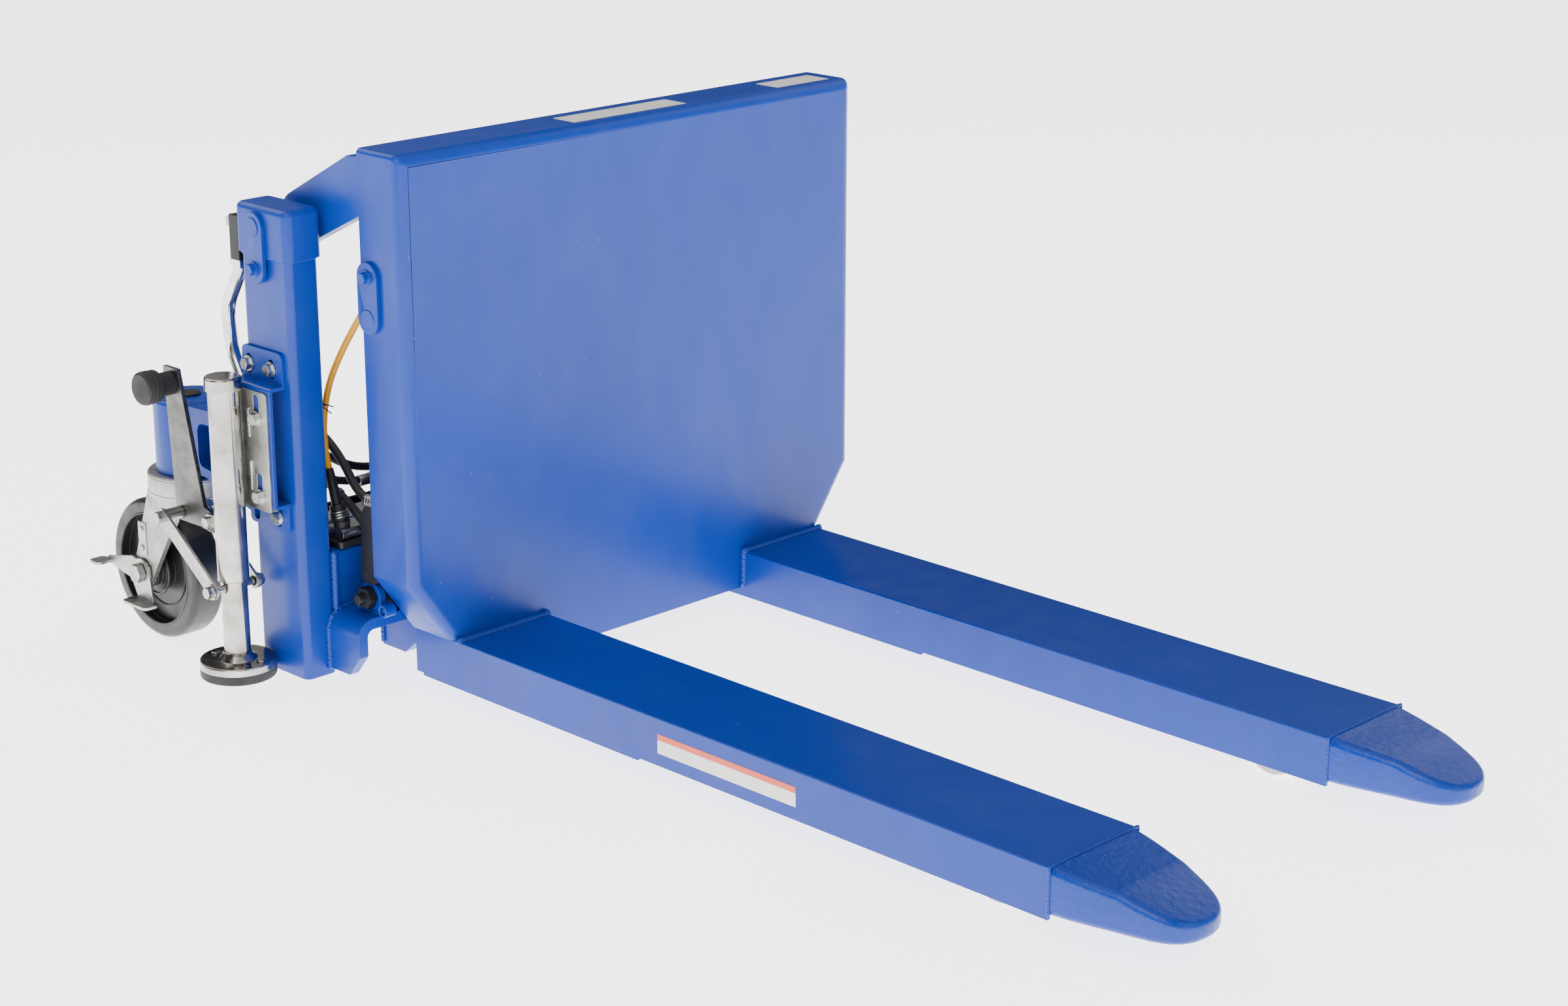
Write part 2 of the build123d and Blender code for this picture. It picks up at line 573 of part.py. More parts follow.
def head_pin():
    """The flag pin at the rod end. It stops short of the rod's eye: this is the linkage's open pivot."""
    head_x, head_z = CYLINDER_HEAD
    keeper_y = -side_face_y - KEEPER_THICKNESS
    keeper = block(head_x - KEEPER_RADIUS, head_x + KEEPER_RADIUS, keeper_y, -side_face_y, head_z,
                   head_z + KEEPER_BOLT_DROP)
    for z in (head_z, head_z + KEEPER_BOLT_DROP):
        keeper = keeper + rod_y(KEEPER_RADIUS, keeper_y, -side_face_y, head_x, z)
    eye_outer = CYLINDER_Y + EYE_WIDTH / 2
    pin = rod_y(HEAD_PIN_RADIUS, keeper_y - 1.5, -eye_outer - OPEN_PIVOT_GAP, head_x, head_z)
    return keeper + pin


def head_pin_bolt():
    head_x, head_z = CYLINDER_HEAD
    return flange_bolt_y(head_x, head_z + KEEPER_BOLT_DROP, -side_face_y - KEEPER_THICKNESS, -1)


def fork():
    """An inverted channel with square top edges, open below and behind, closed by its tip in front."""
    shell = block(FORK_REAR, FORK_LENGTH, -fork_outer_y, -fork_inner_y, FORK_SKIRT, FORK_TOP)
    shell = fillet(shell.edges().filter_by(Axis.X).group_by(Axis.Z)[-1], 2.0)
    inside = block(FORK_REAR - 1, FORK_LENGTH + 1, -fork_outer_y + SHEET, -fork_inner_y - SHEET,
                   FORK_SKIRT - 1, FORK_TOP - SHEET)
    groove = block(-ROOT_GROOVE_LENGTH, ROOT_GROOVE_LENGTH, -fork_outer_y - 1, -fork_inner_y + 1,
                   FORK_TOP - ROOT_GROOVE_DEPTH, FORK_TOP + 1)
    return shell - inside - groove


def fork_tip():
    """The cast tip: rounded to a point in plan, its top curving down to a blunt nose."""
    x0 = FORK_LENGTH
    x1 = FORK_LENGTH + FORK_TIP_LENGTH
    half = FORK_WIDTH / 2
    shoulder_x = x0 + TIP_SHOULDER_AT * FORK_TIP_LENGTH
    shoulder_y = TIP_SHOULDER_WIDTH * half
    side = Spline((x0, half), (shoulder_x, shoulder_y), (x1, 0.0), tangents=[(1, -0.08), (0, -1)])
    other = Spline((x1, 0.0), (shoulder_x, -shoulder_y), (x0, -half), tangents=[(0, -1), (-1, -0.08)])
    plan = make_face([side, other, Line((x0, -half), (x0, half))])
    body = Pos(0, -fork_mid_y, TIP_BOTTOM) * extrude(plan, FORK_TOP - TIP_BOTTOM)
    crown_x = x0 + TIP_CROWN_AT * FORK_TIP_LENGTH
    cut_line = [(x0, FORK_TOP), (crown_x, TIP_CROWN_TOP), (x1 + 5, TIP_NOSE_TOP),
                (x1 + 5, FORK_TOP + 5), (x0, FORK_TOP + 5)]
    above = plate_xz(cut_line, -fork_outer_y - 1, -fork_inner_y + 1)
    above = fillet([e for e in above.edges().filter_by(Axis.Y) if abs(e.center().X - crown_x) < 0.1],
                   TIP_CROWN_ROUND)
    body = body - above
    front_edges = [e for e in body.edges() if e.center().X > x0 + 5]
    return fillet(front_edges, TIP_ROUND)


def fork_doublers():
    bottom = FORK_SKIRT - DOUBLER_DROP
    outer = block(DOUBLER_START, DOUBLER_END, -fork_outer_y + SHEET,
                  -fork_outer_y + SHEET + DOUBLER_THICKNESS,
                  bottom, bottom + DOUBLER_HEIGHT)
    inner = block(DOUBLER_START, DOUBLER_END, -fork_inner_y - SHEET - DOUBLER_THICKNESS,
                  -fork_inner_y - SHEET,
                  bottom, bottom + DOUBLER_HEIGHT)
    return group(outer, inner)


# ================================================================ lift cylinder
foot_point = Vector(CYLINDER_FOOT[0], -CYLINDER_Y, CYLINDER_FOOT[1])
head_point = Vector(CYLINDER_HEAD[0], -CYLINDER_Y, CYLINDER_HEAD[1])
cylinder_axis = (head_point - foot_point).normalized()
closed_length = (head_point - foot_point).length


def along_cylinder(distance):
    """A point on the cylinder's centre line, measured from the foot pin."""
    return foot_point + cylinder_axis * distance


def cylinder_stage(radius, start, end):
    a = along_cylinder(start)
    b = along_cylinder(end)
    return rod_between(radius, tuple(a), tuple(b))


def port_end(angle_up, distance, reach):
    """The outer end of a hose port on the barrel's rear, and the direction from there into the barrel."""
    inward = Vector(cos(radians(angle_up)), 0, -sin(radians(angle_up)))
    root = along_cylinder(distance)
    return root - inward * reach, inward


LIFT_PORT = port_end(41.0, 44.0, 38.0)
RETURN_PORT = port_end(0.0, 120.0, 31.0)
SWITCH_ENTRY = Vector(-128.0, -CYLINDER_Y + 4, 545.0)
SWITCH_INWARD = Vector(0.633, 0, 0.774).normalized()


def barrel(with_switch):
    foot_x, foot_z = CYLINDER_FOOT
    eye = rod_y(EYE_RADIUS, -CYLINDER_Y - EYE_WIDTH / 2, -CYLINDER_Y + EYE_WIDTH / 2, foot_x, foot_z)
    body = eye + cylinder_stage(BARREL_RADIUS, EYE_RADIUS + 3, BARREL_LENGTH)
    body = body + cylinder_stage(12.0, 0, EYE_RADIUS + 5)
    body = body + cylinder_stage(BARREL_RADIUS + 2.5, BARREL_LENGTH - GLAND_LENGTH, BARREL_LENGTH)
    for end, inward in (LIFT_PORT, RETURN_PORT):
        body = body + rod_between(8.0, tuple(end), tuple(end + inward * 24))
    body = body - cylinder_stage(BARREL_RADIUS - BARREL_WALL, EYE_RADIUS + 14, BARREL_LENGTH - GLAND_LENGTH)
    body = body - cylinder_stage(ROD_RADIUS + RUNNING_GAP, BARREL_LENGTH - GLAND_LENGTH - 1,
                                 BARREL_LENGTH + 1)
    body = body - rod_y(FOOT_PIN_RADIUS + RUNNING_GAP, -CYLINDER_Y - 30, -CYLINDER_Y + 30, foot_x, foot_z)
    if not with_switch:
        return group(body)
    return group(body, *limit_switch())


def limit_switch():
    """A stroke switch on a strap at the barrel's top, with the signal cable's gland."""
    collar = cylinder_stage(BARREL_RADIUS + 5.5, BARREL_LENGTH - GLAND_LENGTH - 14,
                            BARREL_LENGTH - GLAND_LENGTH)
    collar = collar - cylinder_stage(BARREL_RADIUS, BARREL_LENGTH - GLAND_LENGTH - 15,
                                     BARREL_LENGTH - GLAND_LENGTH + 1)
    top = along_cylinder(BARREL_LENGTH - GLAND_LENGTH - 7)
    strap_x = top.X - BARREL_RADIUS - 4
    strap = block(strap_x - 14, strap_x - 10, -CYLINDER_Y - 9, -CYLINDER_Y + 9, top.Z - 7, 568)
    foot = block(strap_x - 12, strap_x + 2, -CYLINDER_Y - 9, -CYLINDER_Y + 9, top.Z - 7, top.Z - 2)
    entry = SWITCH_ENTRY
    case = block(strap_x - 10, strap_x + 8, -CYLINDER_Y - 11, -CYLINDER_Y + 11, 540, 574)
    gland = rod_between(6.5, tuple(entry), tuple(entry + SWITCH_INWARD * 27))
    bracket = collar + foot + strap
    gland = gland - block(strap_x - 14, strap_x + 40, -500, 500, 400, 700)
    return [bracket, case, gland]


def piston_rod():
    head_x, head_z = CYLINDER_HEAD
    piston_start = EYE_RADIUS + 16
    body = cylinder_stage(BARREL_RADIUS - BARREL_WALL - RUNNING_GAP, piston_start,
                          piston_start + PISTON_LENGTH)
    body = body + cylinder_stage(ROD_RADIUS, piston_start, closed_length - EYE_RADIUS + 4)
    eye = rod_y(EYE_RADIUS, -CYLINDER_Y - EYE_WIDTH / 2, -CYLINDER_Y + EYE_WIDTH / 2, head_x, head_z)
    body = body + eye
    return body - rod_y(HEAD_PIN_RADIUS + RUNNING_GAP, -CYLINDER_Y - 30, -CYLINDER_Y + 30, head_x, head_z)


# ================================================================ rollers and casters
def load_roller():
    roller = rod_y(ROLLER_RADIUS, -fork_mid_y - ROLLER_WIDTH / 2, -fork_mid_y + ROLLER_WIDTH / 2,
                   ROLLER_X, ROLLER_RADIUS)
    roller = chamfer(roller.edges(), 2.5)
    hub_half = LEG_WIDTH / 2 - ROLLER_CHEEK - 0.6
    roller = roller + rod_y(ROLLER_HUB_RADIUS, -fork_mid_y - hub_half, -fork_mid_y + hub_half, ROLLER_X,
                            ROLLER_RADIUS)
    return roller - rod_y(ROLLER_AXLE_RADIUS + RUNNING_GAP, -fork_mid_y - 90, -fork_mid_y + 90,
                          ROLLER_X, ROLLER_RADIUS)


def caster_mount():
    """The cast bracket on the column's rear: a round hub for the kingpin and a webbed arm."""
    hub = rod_z(MOUNT_HUB_RADIUS, MOUNT_BOTTOM, MOUNT_TOP, CASTER_X, -CASTER_Y)
    hub = fillet(hub.edges().group_by(Axis.Z)[-1], 6.0)
    half = MOUNT_ARM_WIDTH / 2
    side_view = [(CASTER_X, MOUNT_BOTTOM + 8), (CASTER_X + 75, MOUNT_BOTTOM + 8),
                 (column_rear, MOUNT_BOTTOM - 20), (column_rear, MOUNT_TOP + 4), (CASTER_X, MOUNT_TOP - 4)]
    arm = plate_xz(side_view, -CASTER_Y - half, -CASTER_Y + half)
    window = [(CASTER_X + 62, MOUNT_BOTTOM + 22), (column_rear - 18, MOUNT_BOTTOM + 10),
              (column_rear - 18, MOUNT_TOP - 16), (CASTER_X + 62, MOUNT_TOP - 22)]
    for y0 in (-CASTER_Y - half - 1, -CASTER_Y + 7):
        pocket = plate_xz(window, y0, y0 + half - 6)
        pocket = fillet(pocket.edges().filter_by(Axis.Y), 12.0)
        arm = arm - pocket
    body = hub + arm
    return body - rod_z(KINGPIN_RADIUS, MOUNT_BOTTOM - 1, MOUNT_TOP + 1, CASTER_X, -CASTER_Y)


def kingpin():
    """The swivel's pin, with its domed cap on top of the hub."""
    pin = rod_z(KINGPIN_RADIUS, RACE_BOTTOM + 6, MOUNT_TOP, CASTER_X, -CASTER_Y)
    cap = rod_z(KINGPIN_RADIUS + 3.0, MOUNT_TOP, MOUNT_TOP + 4, CASTER_X, -CASTER_Y)
    return pin + fillet(cap.edges().group_by(Axis.Z)[-1], 2.0)


def caster_yoke():
    """The swivel race and the two fork plates, with the wheel's axle bolt."""
    race_top = RACE_BOTTOM + RACE_HEIGHT
    race = rod_z(RACE_RADIUS, RACE_BOTTOM + 8, race_top, CASTER_X, -CASTER_Y)
    race = chamfer(race.edges().group_by(Axis.Z)[-1], 2.0)
    race = race + rod_z(RACE_RADIUS - 8, RACE_BOTTOM, RACE_BOTTOM + 8, CASTER_X, -CASTER_Y)
    half = YOKE_INSIDE / 2
    axle_z = WHEEL_RADIUS
    plate = [(CASTER_X - 54, RACE_BOTTOM + 8), (CASTER_X + 30, RACE_BOTTOM + 8),
             (caster_wheel_x + 20, axle_z - 8), (caster_wheel_x - 20, axle_z + 8)]
    body = race
    for y0 in (-CASTER_Y - half - YOKE_PLATE, -CASTER_Y + half):
        eye = rod_y(22.0, y0, y0 + YOKE_PLATE, caster_wheel_x, axle_z)
        body = body + plate_xz(plate, y0, y0 + YOKE_PLATE) + eye
    body = body - rod_y(AXLE_RADIUS, -CASTER_Y - 60, -CASTER_Y + 60, caster_wheel_x, axle_z)
    body = body - rod_z(KINGPIN_RADIUS + RUNNING_GAP, RACE_BOTTOM + 5.5, race_top + 1, CASTER_X, -CASTER_Y)
    bolt_out = -CASTER_Y - half - YOKE_PLATE
    bolt_in = -CASTER_Y + half + YOKE_PLATE
    axle = rod_y(AXLE_RADIUS, bolt_out - BRAKE_PLATE - 2, bolt_in, caster_wheel_x, axle_z)
    axle = axle + hexagon_y(24.0, bolt_out - BRAKE_PLATE - 12, bolt_out - BRAKE_PLATE - 2,
                            caster_wheel_x, axle_z)
    axle = axle + hexagon_y(24.0, bolt_in, bolt_in + 12, caster_wheel_x, axle_z)
    return group(body, axle)


def caster_wheel():
    y0 = -CASTER_Y - WHEEL_WIDTH / 2
    y1 = -CASTER_Y + WHEEL_WIDTH / 2
    wheel = rod_y(WHEEL_RADIUS, y0, y1, caster_wheel_x, WHEEL_RADIUS)
    wheel = fillet(wheel.edges(), WHEEL_TREAD_ROUND)
    for face in (y0, y1 - 15):
        dish = rod_y(WHEEL_RADIUS - 20, face, face + 15, caster_wheel_x, WHEEL_RADIUS)
        wheel = wheel - (dish - rod_y(WHEEL_HUB_RADIUS + 8, face - 1, face + 16, caster_wheel_x,
                                      WHEEL_RADIUS))
    hub_half = YOKE_INSIDE / 2 - 0.6
    wheel = wheel + rod_y(WHEEL_HUB_RADIUS, -CASTER_Y - hub_half, -CASTER_Y + hub_half, caster_wheel_x,
                          WHEEL_RADIUS)
    return wheel - rod_y(AXLE_RADIUS + RUNNING_GAP, -CASTER_Y - 80, -CASTER_Y + 80, caster_wheel_x,
                         WHEEL_RADIUS)


def caster_brake():
    """A rocking pedal on the axle bolt: a bar with a tread tab bent outwards at each end."""
    y1 = -CASTER_Y - YOKE_INSIDE / 2 - YOKE_PLATE - 1
    y0 = y1 - BRAKE_PLATE
    bar = plate_xz([(-82, -3), (-82, 6), (-20, 20), (19, 12), (26, -40), (-10, -40), (-24, -14)], y0, y1)
    bar = bar + rod_y(20.0, y0, y1, 0, 0)
    tab_rear = block(-BRAKE_REACH, -74, y0 - 22, y1, -3, 1)
    tab_front = block(-20, 38, y0 - 22, y1, -44, -40)
    tab_rear = fillet(tab_rear.edges().filter_by(Axis.Z), 7.0)
    tab_front = fillet(tab_front.edges().filter_by(Axis.Z), 7.0)
    pedal = bar + tab_rear + tab_front
    pedal = pedal - rod_y(AXLE_RADIUS + RUNNING_GAP, y0 - 5, y1 + 5, 0, 0)
    return Pos(caster_wheel_x, 0, WHEEL_RADIUS) * pedal


# ================================================================ floor lock (right side only)
def lock_bracket():
    """A hat-shaped sheet bracket on the column's outer face, with slotted flanges."""
    near = -column_outer_y
    far = near - BRACKET_STEP
    x0 = BRACKET_X - BRACKET_WIDTH / 2
    x1 = BRACKET_X + BRACKET_WIDTH / 2
    body = block(x0, x1, near - SHEET, near, BRACKET_WEB_TOP - SHEET, BRACKET_TOP)
    body = body + block(x0, x1, far, near, BRACKET_WEB_TOP - SHEET, BRACKET_WEB_TOP)
    body = body + block(x0, x1, far, far + SHEET, BRACKET_WEB_BOTTOM, BRACKET_WEB_TOP)
    body = body + block(x0, x1, far, near, BRACKET_WEB_BOTTOM, BRACKET_WEB_BOTTOM + SHEET)
    body = body + block(x0, x1, near - SHEET, near, BRACKET_BOTTOM, BRACKET_WEB_BOTTOM + SHEET)
    outer_bends = [e for e in body.edges().filter_by(Axis.X) if abs(e.center().Y - far) < 0.1]
    body = fillet(outer_bends, SHEET)
    upright = body.edges().filter_by(Axis.Y)
    corners = [e for e in upright if e.center().Z > BRACKET_TOP - 1 or e.center().Z < BRACKET_BOTTOM + 1]
    body = fillet(corners, 8.0)
    for x in BRACKET_BOLTS_X:
        for z in (BRACKET_TOP - 24, BRACKET_BOTTOM + 18):
            body = body - obround_xz(6.0, 14.0, near - SHEET - 1, near + 1, x, z + 7)
    for z in CLAMP_BOLTS_Z:
        body = body - rod_y(5.5, far - 1, far + SHEET + 1, CLAMP_BOLT_X, z)
    return body


BRACKET_BOLTS_X = (BRACKET_X - 28.0, BRACKET_X + 20.0)
CLAMP_BOLT_X = BRACKET_X + 16.0
CLAMP_BOLTS_Z = (291.0, 398.0)


def lock_plate():
    """The plated clamp plate that carries the lock's tube, with slots for height adjustment."""
    web = -column_outer_y - BRACKET_STEP
    x1 = BRACKET_X + BRACKET_WIDTH / 2 - 5
    plate = block(LOCK_X - 10, x1, web - CLAMP_PLATE, web, BRACKET_WEB_BOTTOM - 4, LOCK_TUBE_TOP - 11)
    plate = fillet([e for e in plate.edges().filter_by(Axis.Y) if e.center().X > x1 - 1], 4.0)
    for z in CLAMP_BOLTS_Z:
        plate = plate - obround_xz(5.5, 28.0, web - CLAMP_PLATE - 1, web + 1, CLAMP_BOLT_X, z + 26)
    return plate


def lock_tube():
    tube = rod_z(LOCK_TUBE_RADIUS, LOCK_TUBE_BOTTOM, LOCK_TUBE_TOP, LOCK_X, LOCK_Y)
    fulcrum_x, fulcrum_z = FULCRUM
    half = PEDAL_PLATE / 2 + 1.0
    for y0 in (LOCK_Y - half - 4, LOCK_Y + half):
        ear = block(fulcrum_x, LOCK_X - LOCK_TUBE_RADIUS + 4, y0, y0 + 4, fulcrum_z - 12, fulcrum_z + 12)
        ear = ear + rod_y(12.0, y0, y0 + 4, fulcrum_x, fulcrum_z)
        tube = tube + (ear - rod_y(LOCK_BOLT_RADIUS, y0 - 1, y0 + 5, fulcrum_x, fulcrum_z))
    bore = rod_z(LOCK_TUBE_RADIUS - LOCK_TUBE_WALL, LOCK_TUBE_BOTTOM - 1, LOCK_TUBE_TOP + 1, LOCK_X, LOCK_Y)
    return tube - bore


def lock_cap():
    cap = rod_z(LOCK_CAP_RADIUS, LOCK_TUBE_TOP - 10, LOCK_TUBE_TOP + LOCK_CAP_HEIGHT - 10, LOCK_X, LOCK_Y)
    cap = fillet(cap.edges().group_by(Axis.Z)[-1], 3.0)
    return cap - rod_z(LOCK_TUBE_RADIUS, LOCK_TUBE_TOP - 11, LOCK_TUBE_TOP, LOCK_X, LOCK_Y)


def lock_foot():
    """The sliding stem with its slot and foot plate, and the cross bolt that the links push."""
    plate = rod_z(FOOT_RADIUS, foot_top - FOOT_THICKNESS, foot_top, LOCK_X, LOCK_Y)
    plate = fillet(plate.edges().group_by(Axis.Z)[-1], 2.0)
    collar = Pos(LOCK_X, LOCK_Y, foot_top + 4) * Cone(stem_radius + 8, stem_radius + 1, 8)
    stem = rod_z(stem_radius, foot_top - 1, STEM_TOP, LOCK_X, LOCK_Y)
    body = plate + collar + stem
    body = body - rod_z(stem_radius - STEM_WALL, foot_top + 6, STEM_TOP + 1, LOCK_X, LOCK_Y)
    slot = block(LOCK_X - stem_radius - 5, LOCK_X, LOCK_Y - SLOT_WIDTH / 2, LOCK_Y + SLOT_WIDTH / 2,
                 foot_top + 24, cross_bolt_z - 16)
    slot = Pos(LOCK_X, LOCK_Y, 0) * Rot(0, 0, 45) * Pos(-LOCK_X, -LOCK_Y, 0) * slot
    body = body - slot
    rivets = []
    for side in (-1, 1):
        body = body - rod_z(RIVET_RADIUS, foot_top - FOOT_THICKNESS - 1, foot_top + 1,
                            LOCK_X + side * 34, LOCK_Y + side * 12)
        rivets.append(foot_rivet(side))
    body = body - rod_y(LOCK_BOLT_RADIUS, LOCK_Y - 60, LOCK_Y + 60, LOCK_X, cross_bolt_z)
    reach = LINK_OFFSET + MOVING_GAP
    bolt = rod_y(LOCK_BOLT_RADIUS, LOCK_Y - reach, LOCK_Y + reach, LOCK_X, cross_bolt_z)
    for side in (-1, 1):
        seat = LOCK_Y + side * reach
        bolt = bolt + rod_y(10.5, seat, seat + side * 2, LOCK_X, cross_bolt_z)
        bolt = bolt + hexagon_y(14.0, seat + side * 2, seat + side * 9, LOCK_X, cross_bolt_z)
    return group(body, bolt, *rivets)


def foot_rivet(side):
    """One of the two rivets that hold the rubber pad on the foot plate."""
    x = LOCK_X + side * 34
    y = LOCK_Y + side * 12
    head = rod_z(6.0, foot_top, foot_top + 3, x, y)
    head = fillet(head.edges().group_by(Axis.Z)[-1], 1.8)
    return head + rod_z(RIVET_RADIUS, foot_top - FOOT_THICKNESS - PAD_THICKNESS / 2, foot_top, x, y)


def lock_pad():
    """The rubber pad under the foot plate, with a socket for each rivet's end."""
    pad = rod_z(FOOT_RADIUS, PAD_CLEARANCE, foot_top - FOOT_THICKNESS, LOCK_X, LOCK_Y)
    pad = fillet(pad.edges().group_by(Axis.Z)[0], 2.5)
    for side in (-1, 1):
        x = LOCK_X + side * 34
        y = LOCK_Y + side * 12
        pad = pad - rod_z(RIVET_RADIUS, foot_top - FOOT_THICKNESS - PAD_THICKNESS / 2, foot_top, x, y)
    return pad


def lock_spring():
    """The cushion spring inside the stem, between the foot and the cross bolt."""
    start = foot_top + 6 + SPRING_WIRE / 2
    height = cross_bolt_z - LOCK_BOLT_RADIUS - SPRING_WIRE / 2 - start
    turns = Helix(pitch=SPRING_PITCH, height=height, radius=SPRING_RADIUS)
    section = Plane(origin=turns @ 0, z_dir=turns % 0) * Circle(SPRING_WIRE / 2)
    return Pos(LOCK_X, LOCK_Y, start) * sweep(section, path=turns, is_frenet=True)


def lock_pedal():
    """The pedal lever: an upright bar whose foot turns on the fulcrum and pushes the knee."""
    y0 = LOCK_Y - PEDAL_PLATE / 2
    y1 = LOCK_Y + PEDAL_PLATE / 2
    knee_x, knee_z = KNEE
    fulcrum_x, fulcrum_z = FULCRUM
    pad_x, pad_z = PEDAL_PAD_AT
    bar = plate_xz([(pad_x - 16, pad_z + 21), (pad_x + 16, pad_z + 21), (pad_x + 59, knee_z + 18),
                    (fulcrum_x + 3, fulcrum_z + 12), (fulcrum_x, fulcrum_z - 12), (knee_x, knee_z - 12),
                    (knee_x - 11, knee_z + 4)], y0, y1)
    bar = bar + rod_y(12.0, y0, y1, fulcrum_x, fulcrum_z) + rod_y(12.0, y0, y1, knee_x, knee_z)
    bar = bar - rod_y(LOCK_BOLT_RADIUS + RUNNING_GAP, y0 - 1, y1 + 1, fulcrum_x, fulcrum_z)
    bar = bar - rod_y(LOCK_BOLT_RADIUS + RUNNING_GAP, y0 - 1, y1 + 1, knee_x, knee_z)
    stud = rod_y(7.0, y0 - 44, y0, pad_x, pad_z)
    return bar + stud


def pedal_pad():
    """The rubber foot pad on the pedal's stud: a neck and a larger ringed head."""
    y0 = LOCK_Y - PEDAL_PLATE / 2
    pad_x, pad_z = PEDAL_PAD_AT
    neck = rod_y(16.0, y0 - 24, y0, pad_x, pad_z)
    head = rod_y(PEDAL_PAD_RADIUS, y0 - 48, y0 - 22, pad_x, pad_z)
    head = fillet(head.edges(), 4.0)
    return neck + head - rod_y(7.0, y0 - 44, y0 + 1, pad_x, pad_z)


def lock_links():
    """Two flat links and the knee bolt with its spacers."""
    knee_x, knee_z = KNEE
    length = hypot(LOCK_X - knee_x, cross_bolt_z - knee_z)
    angle = degrees(atan2(cross_bolt_z - knee_z, LOCK_X - knee_x))
    pieces = []
    for y0 in (LOCK_Y - LINK_OFFSET, LOCK_Y + LINK_OFFSET - LINK_PLATE):
        bar = block(0, length, y0, y0 + LINK_PLATE, -LINK_WIDTH / 2, LINK_WIDTH / 2)
        bar = bar + rod_y(LINK_WIDTH / 2, y0, y0 + LINK_PLATE, 0, 0)
        bar = bar + rod_y(LINK_WIDTH / 2, y0, y0 + LINK_PLATE, length, 0)
        bar = bar - rod_y(LOCK_BOLT_RADIUS, y0 - 1, y0 + LINK_PLATE + 1, 0, 0)
        bar = bar - rod_y(OPEN_LINK_HOLE, y0 - 1, y0 + LINK_PLATE + 1, length, 0)
        pieces.append(Pos(knee_x, 0, knee_z) * Rot(0, -angle, 0) * bar)
    reach = LINK_OFFSET
    bolt = rod_y(LOCK_BOLT_RADIUS, LOCK_Y - reach - 2, LOCK_Y + reach + 2, knee_x, knee_z)
    bolt = bolt + hexagon_y(14.0, LOCK_Y - reach - 9, LOCK_Y - reach, knee_x, knee_z)
    bolt = bolt + hexagon_y(14.0, LOCK_Y + reach, LOCK_Y + reach + 9, knee_x, knee_z)
    inner_gap = PEDAL_PLATE / 2 + 0.5
    near_spacer = rod_y(8.5, LOCK_Y - reach + LINK_PLATE, LOCK_Y - inner_gap, knee_x, knee_z)
    far_spacer = rod_y(8.5, LOCK_Y + inner_gap, LOCK_Y + reach - LINK_PLATE, knee_x, knee_z)
    return group(pieces[0], pieces[1], bolt + near_spacer + far_spacer)


# ================================================================ power unit, handles and small parts
def power_deck():
    deck = block(DECK_REAR, column_rear + 2, -DECK_HALF_WIDTH, DECK_HALF_WIDTH, BEAM_BOTTOM,
                 BEAM_BOTTOM + DECK_THICKNESS)
    lip = block(DECK_REAR, DECK_REAR + DECK_THICKNESS, -DECK_HALF_WIDTH, DECK_HALF_WIDTH,
                BEAM_BOTTOM, BEAM_BOTTOM + 40)
    deck = deck + lip
    return fillet(deck.edges().filter_by(Axis.Z).group_by(Axis.X)[0], 2.5)


deck_top = BEAM_BOTTOM + DECK_THICKNESS


def battery_box():
    case = block(-465, -285, 45, 232, deck_top, 300)
    return fillet(case.edges().filter_by(Axis.Z), 12.0)


def hydraulic_tank():
    tank = block(-465, -290, -125, 30, deck_top, 245)
    tank = fillet(tank.edges().filter_by(Axis.Z), 14.0)
    filler = rod_z(16.0, 245, 262, -440, -95)
    outlets = rod_y(9.0, -137, -125, -400, 215) + rod_y(9.0, -137, -125, -436, 186)
    left_outlet = rod_between(9.0, (-290, -60, 222), (-279, -60, 222))
    return tank + filler + outlets + left_outlet


def pump_motor():
    motor = rod_z(46.0, 262, 392, -372, -48)
    motor = fillet(motor.edges().group_by(Axis.Z)[-1], 8.0)
    base = block(-424, -320, -96, 0, 245, 262)
    return motor + fillet(base.edges().filter_by(Axis.Z), 10.0)


def valve_block():
    """The flow block on the beam, with long rounded edges."""
    bars = []
    for x in (-249, -201):
        bar = block(x, x + 42, -CYLINDER_Y - VALVE_OUTER, -CYLINDER_Y + VALVE_INNER,
                    BEAM_TOP + JUNCTION_HEIGHT, BEAM_TOP + JUNCTION_HEIGHT + 15)
        bars.append(fillet(bar.edges().filter_by(Axis.Y), 6.5))
    return bars[0] + bars[1] + block(-212, -196, -CYLINDER_Y - VALVE_OUTER + 8,
                                     -CYLINDER_Y + VALVE_INNER - 6, BEAM_TOP + JUNCTION_HEIGHT,
                                     BEAM_TOP + JUNCTION_HEIGHT + 9)


def control_box():
    """The switch gear over the battery, and the flat junction box under the flow block."""
    upper = block(-455, -295, 55, 222, 300, 352)
    upper = fillet(upper.edges().filter_by(Axis.Z), 10.0)
    upper = fillet(upper.faces().sort_by(Axis.Z)[-1].edges(), 5.0)
    junction = block(-254, -156, -CYLINDER_Y - JUNCTION_OUTER, -CYLINDER_Y + JUNCTION_INNER, BEAM_TOP,
                     BEAM_TOP + JUNCTION_HEIGHT)
    junction = fillet(junction.edges().filter_by(Axis.Z), 6.0)
    return group(upper, junction)


HANDLE_OFFSET = 12.4        # the column's centre to the handle
HANDLE_Y = COLUMN_Y + HANDLE_OFFSET
HANDLE_RADIUS = 9.5


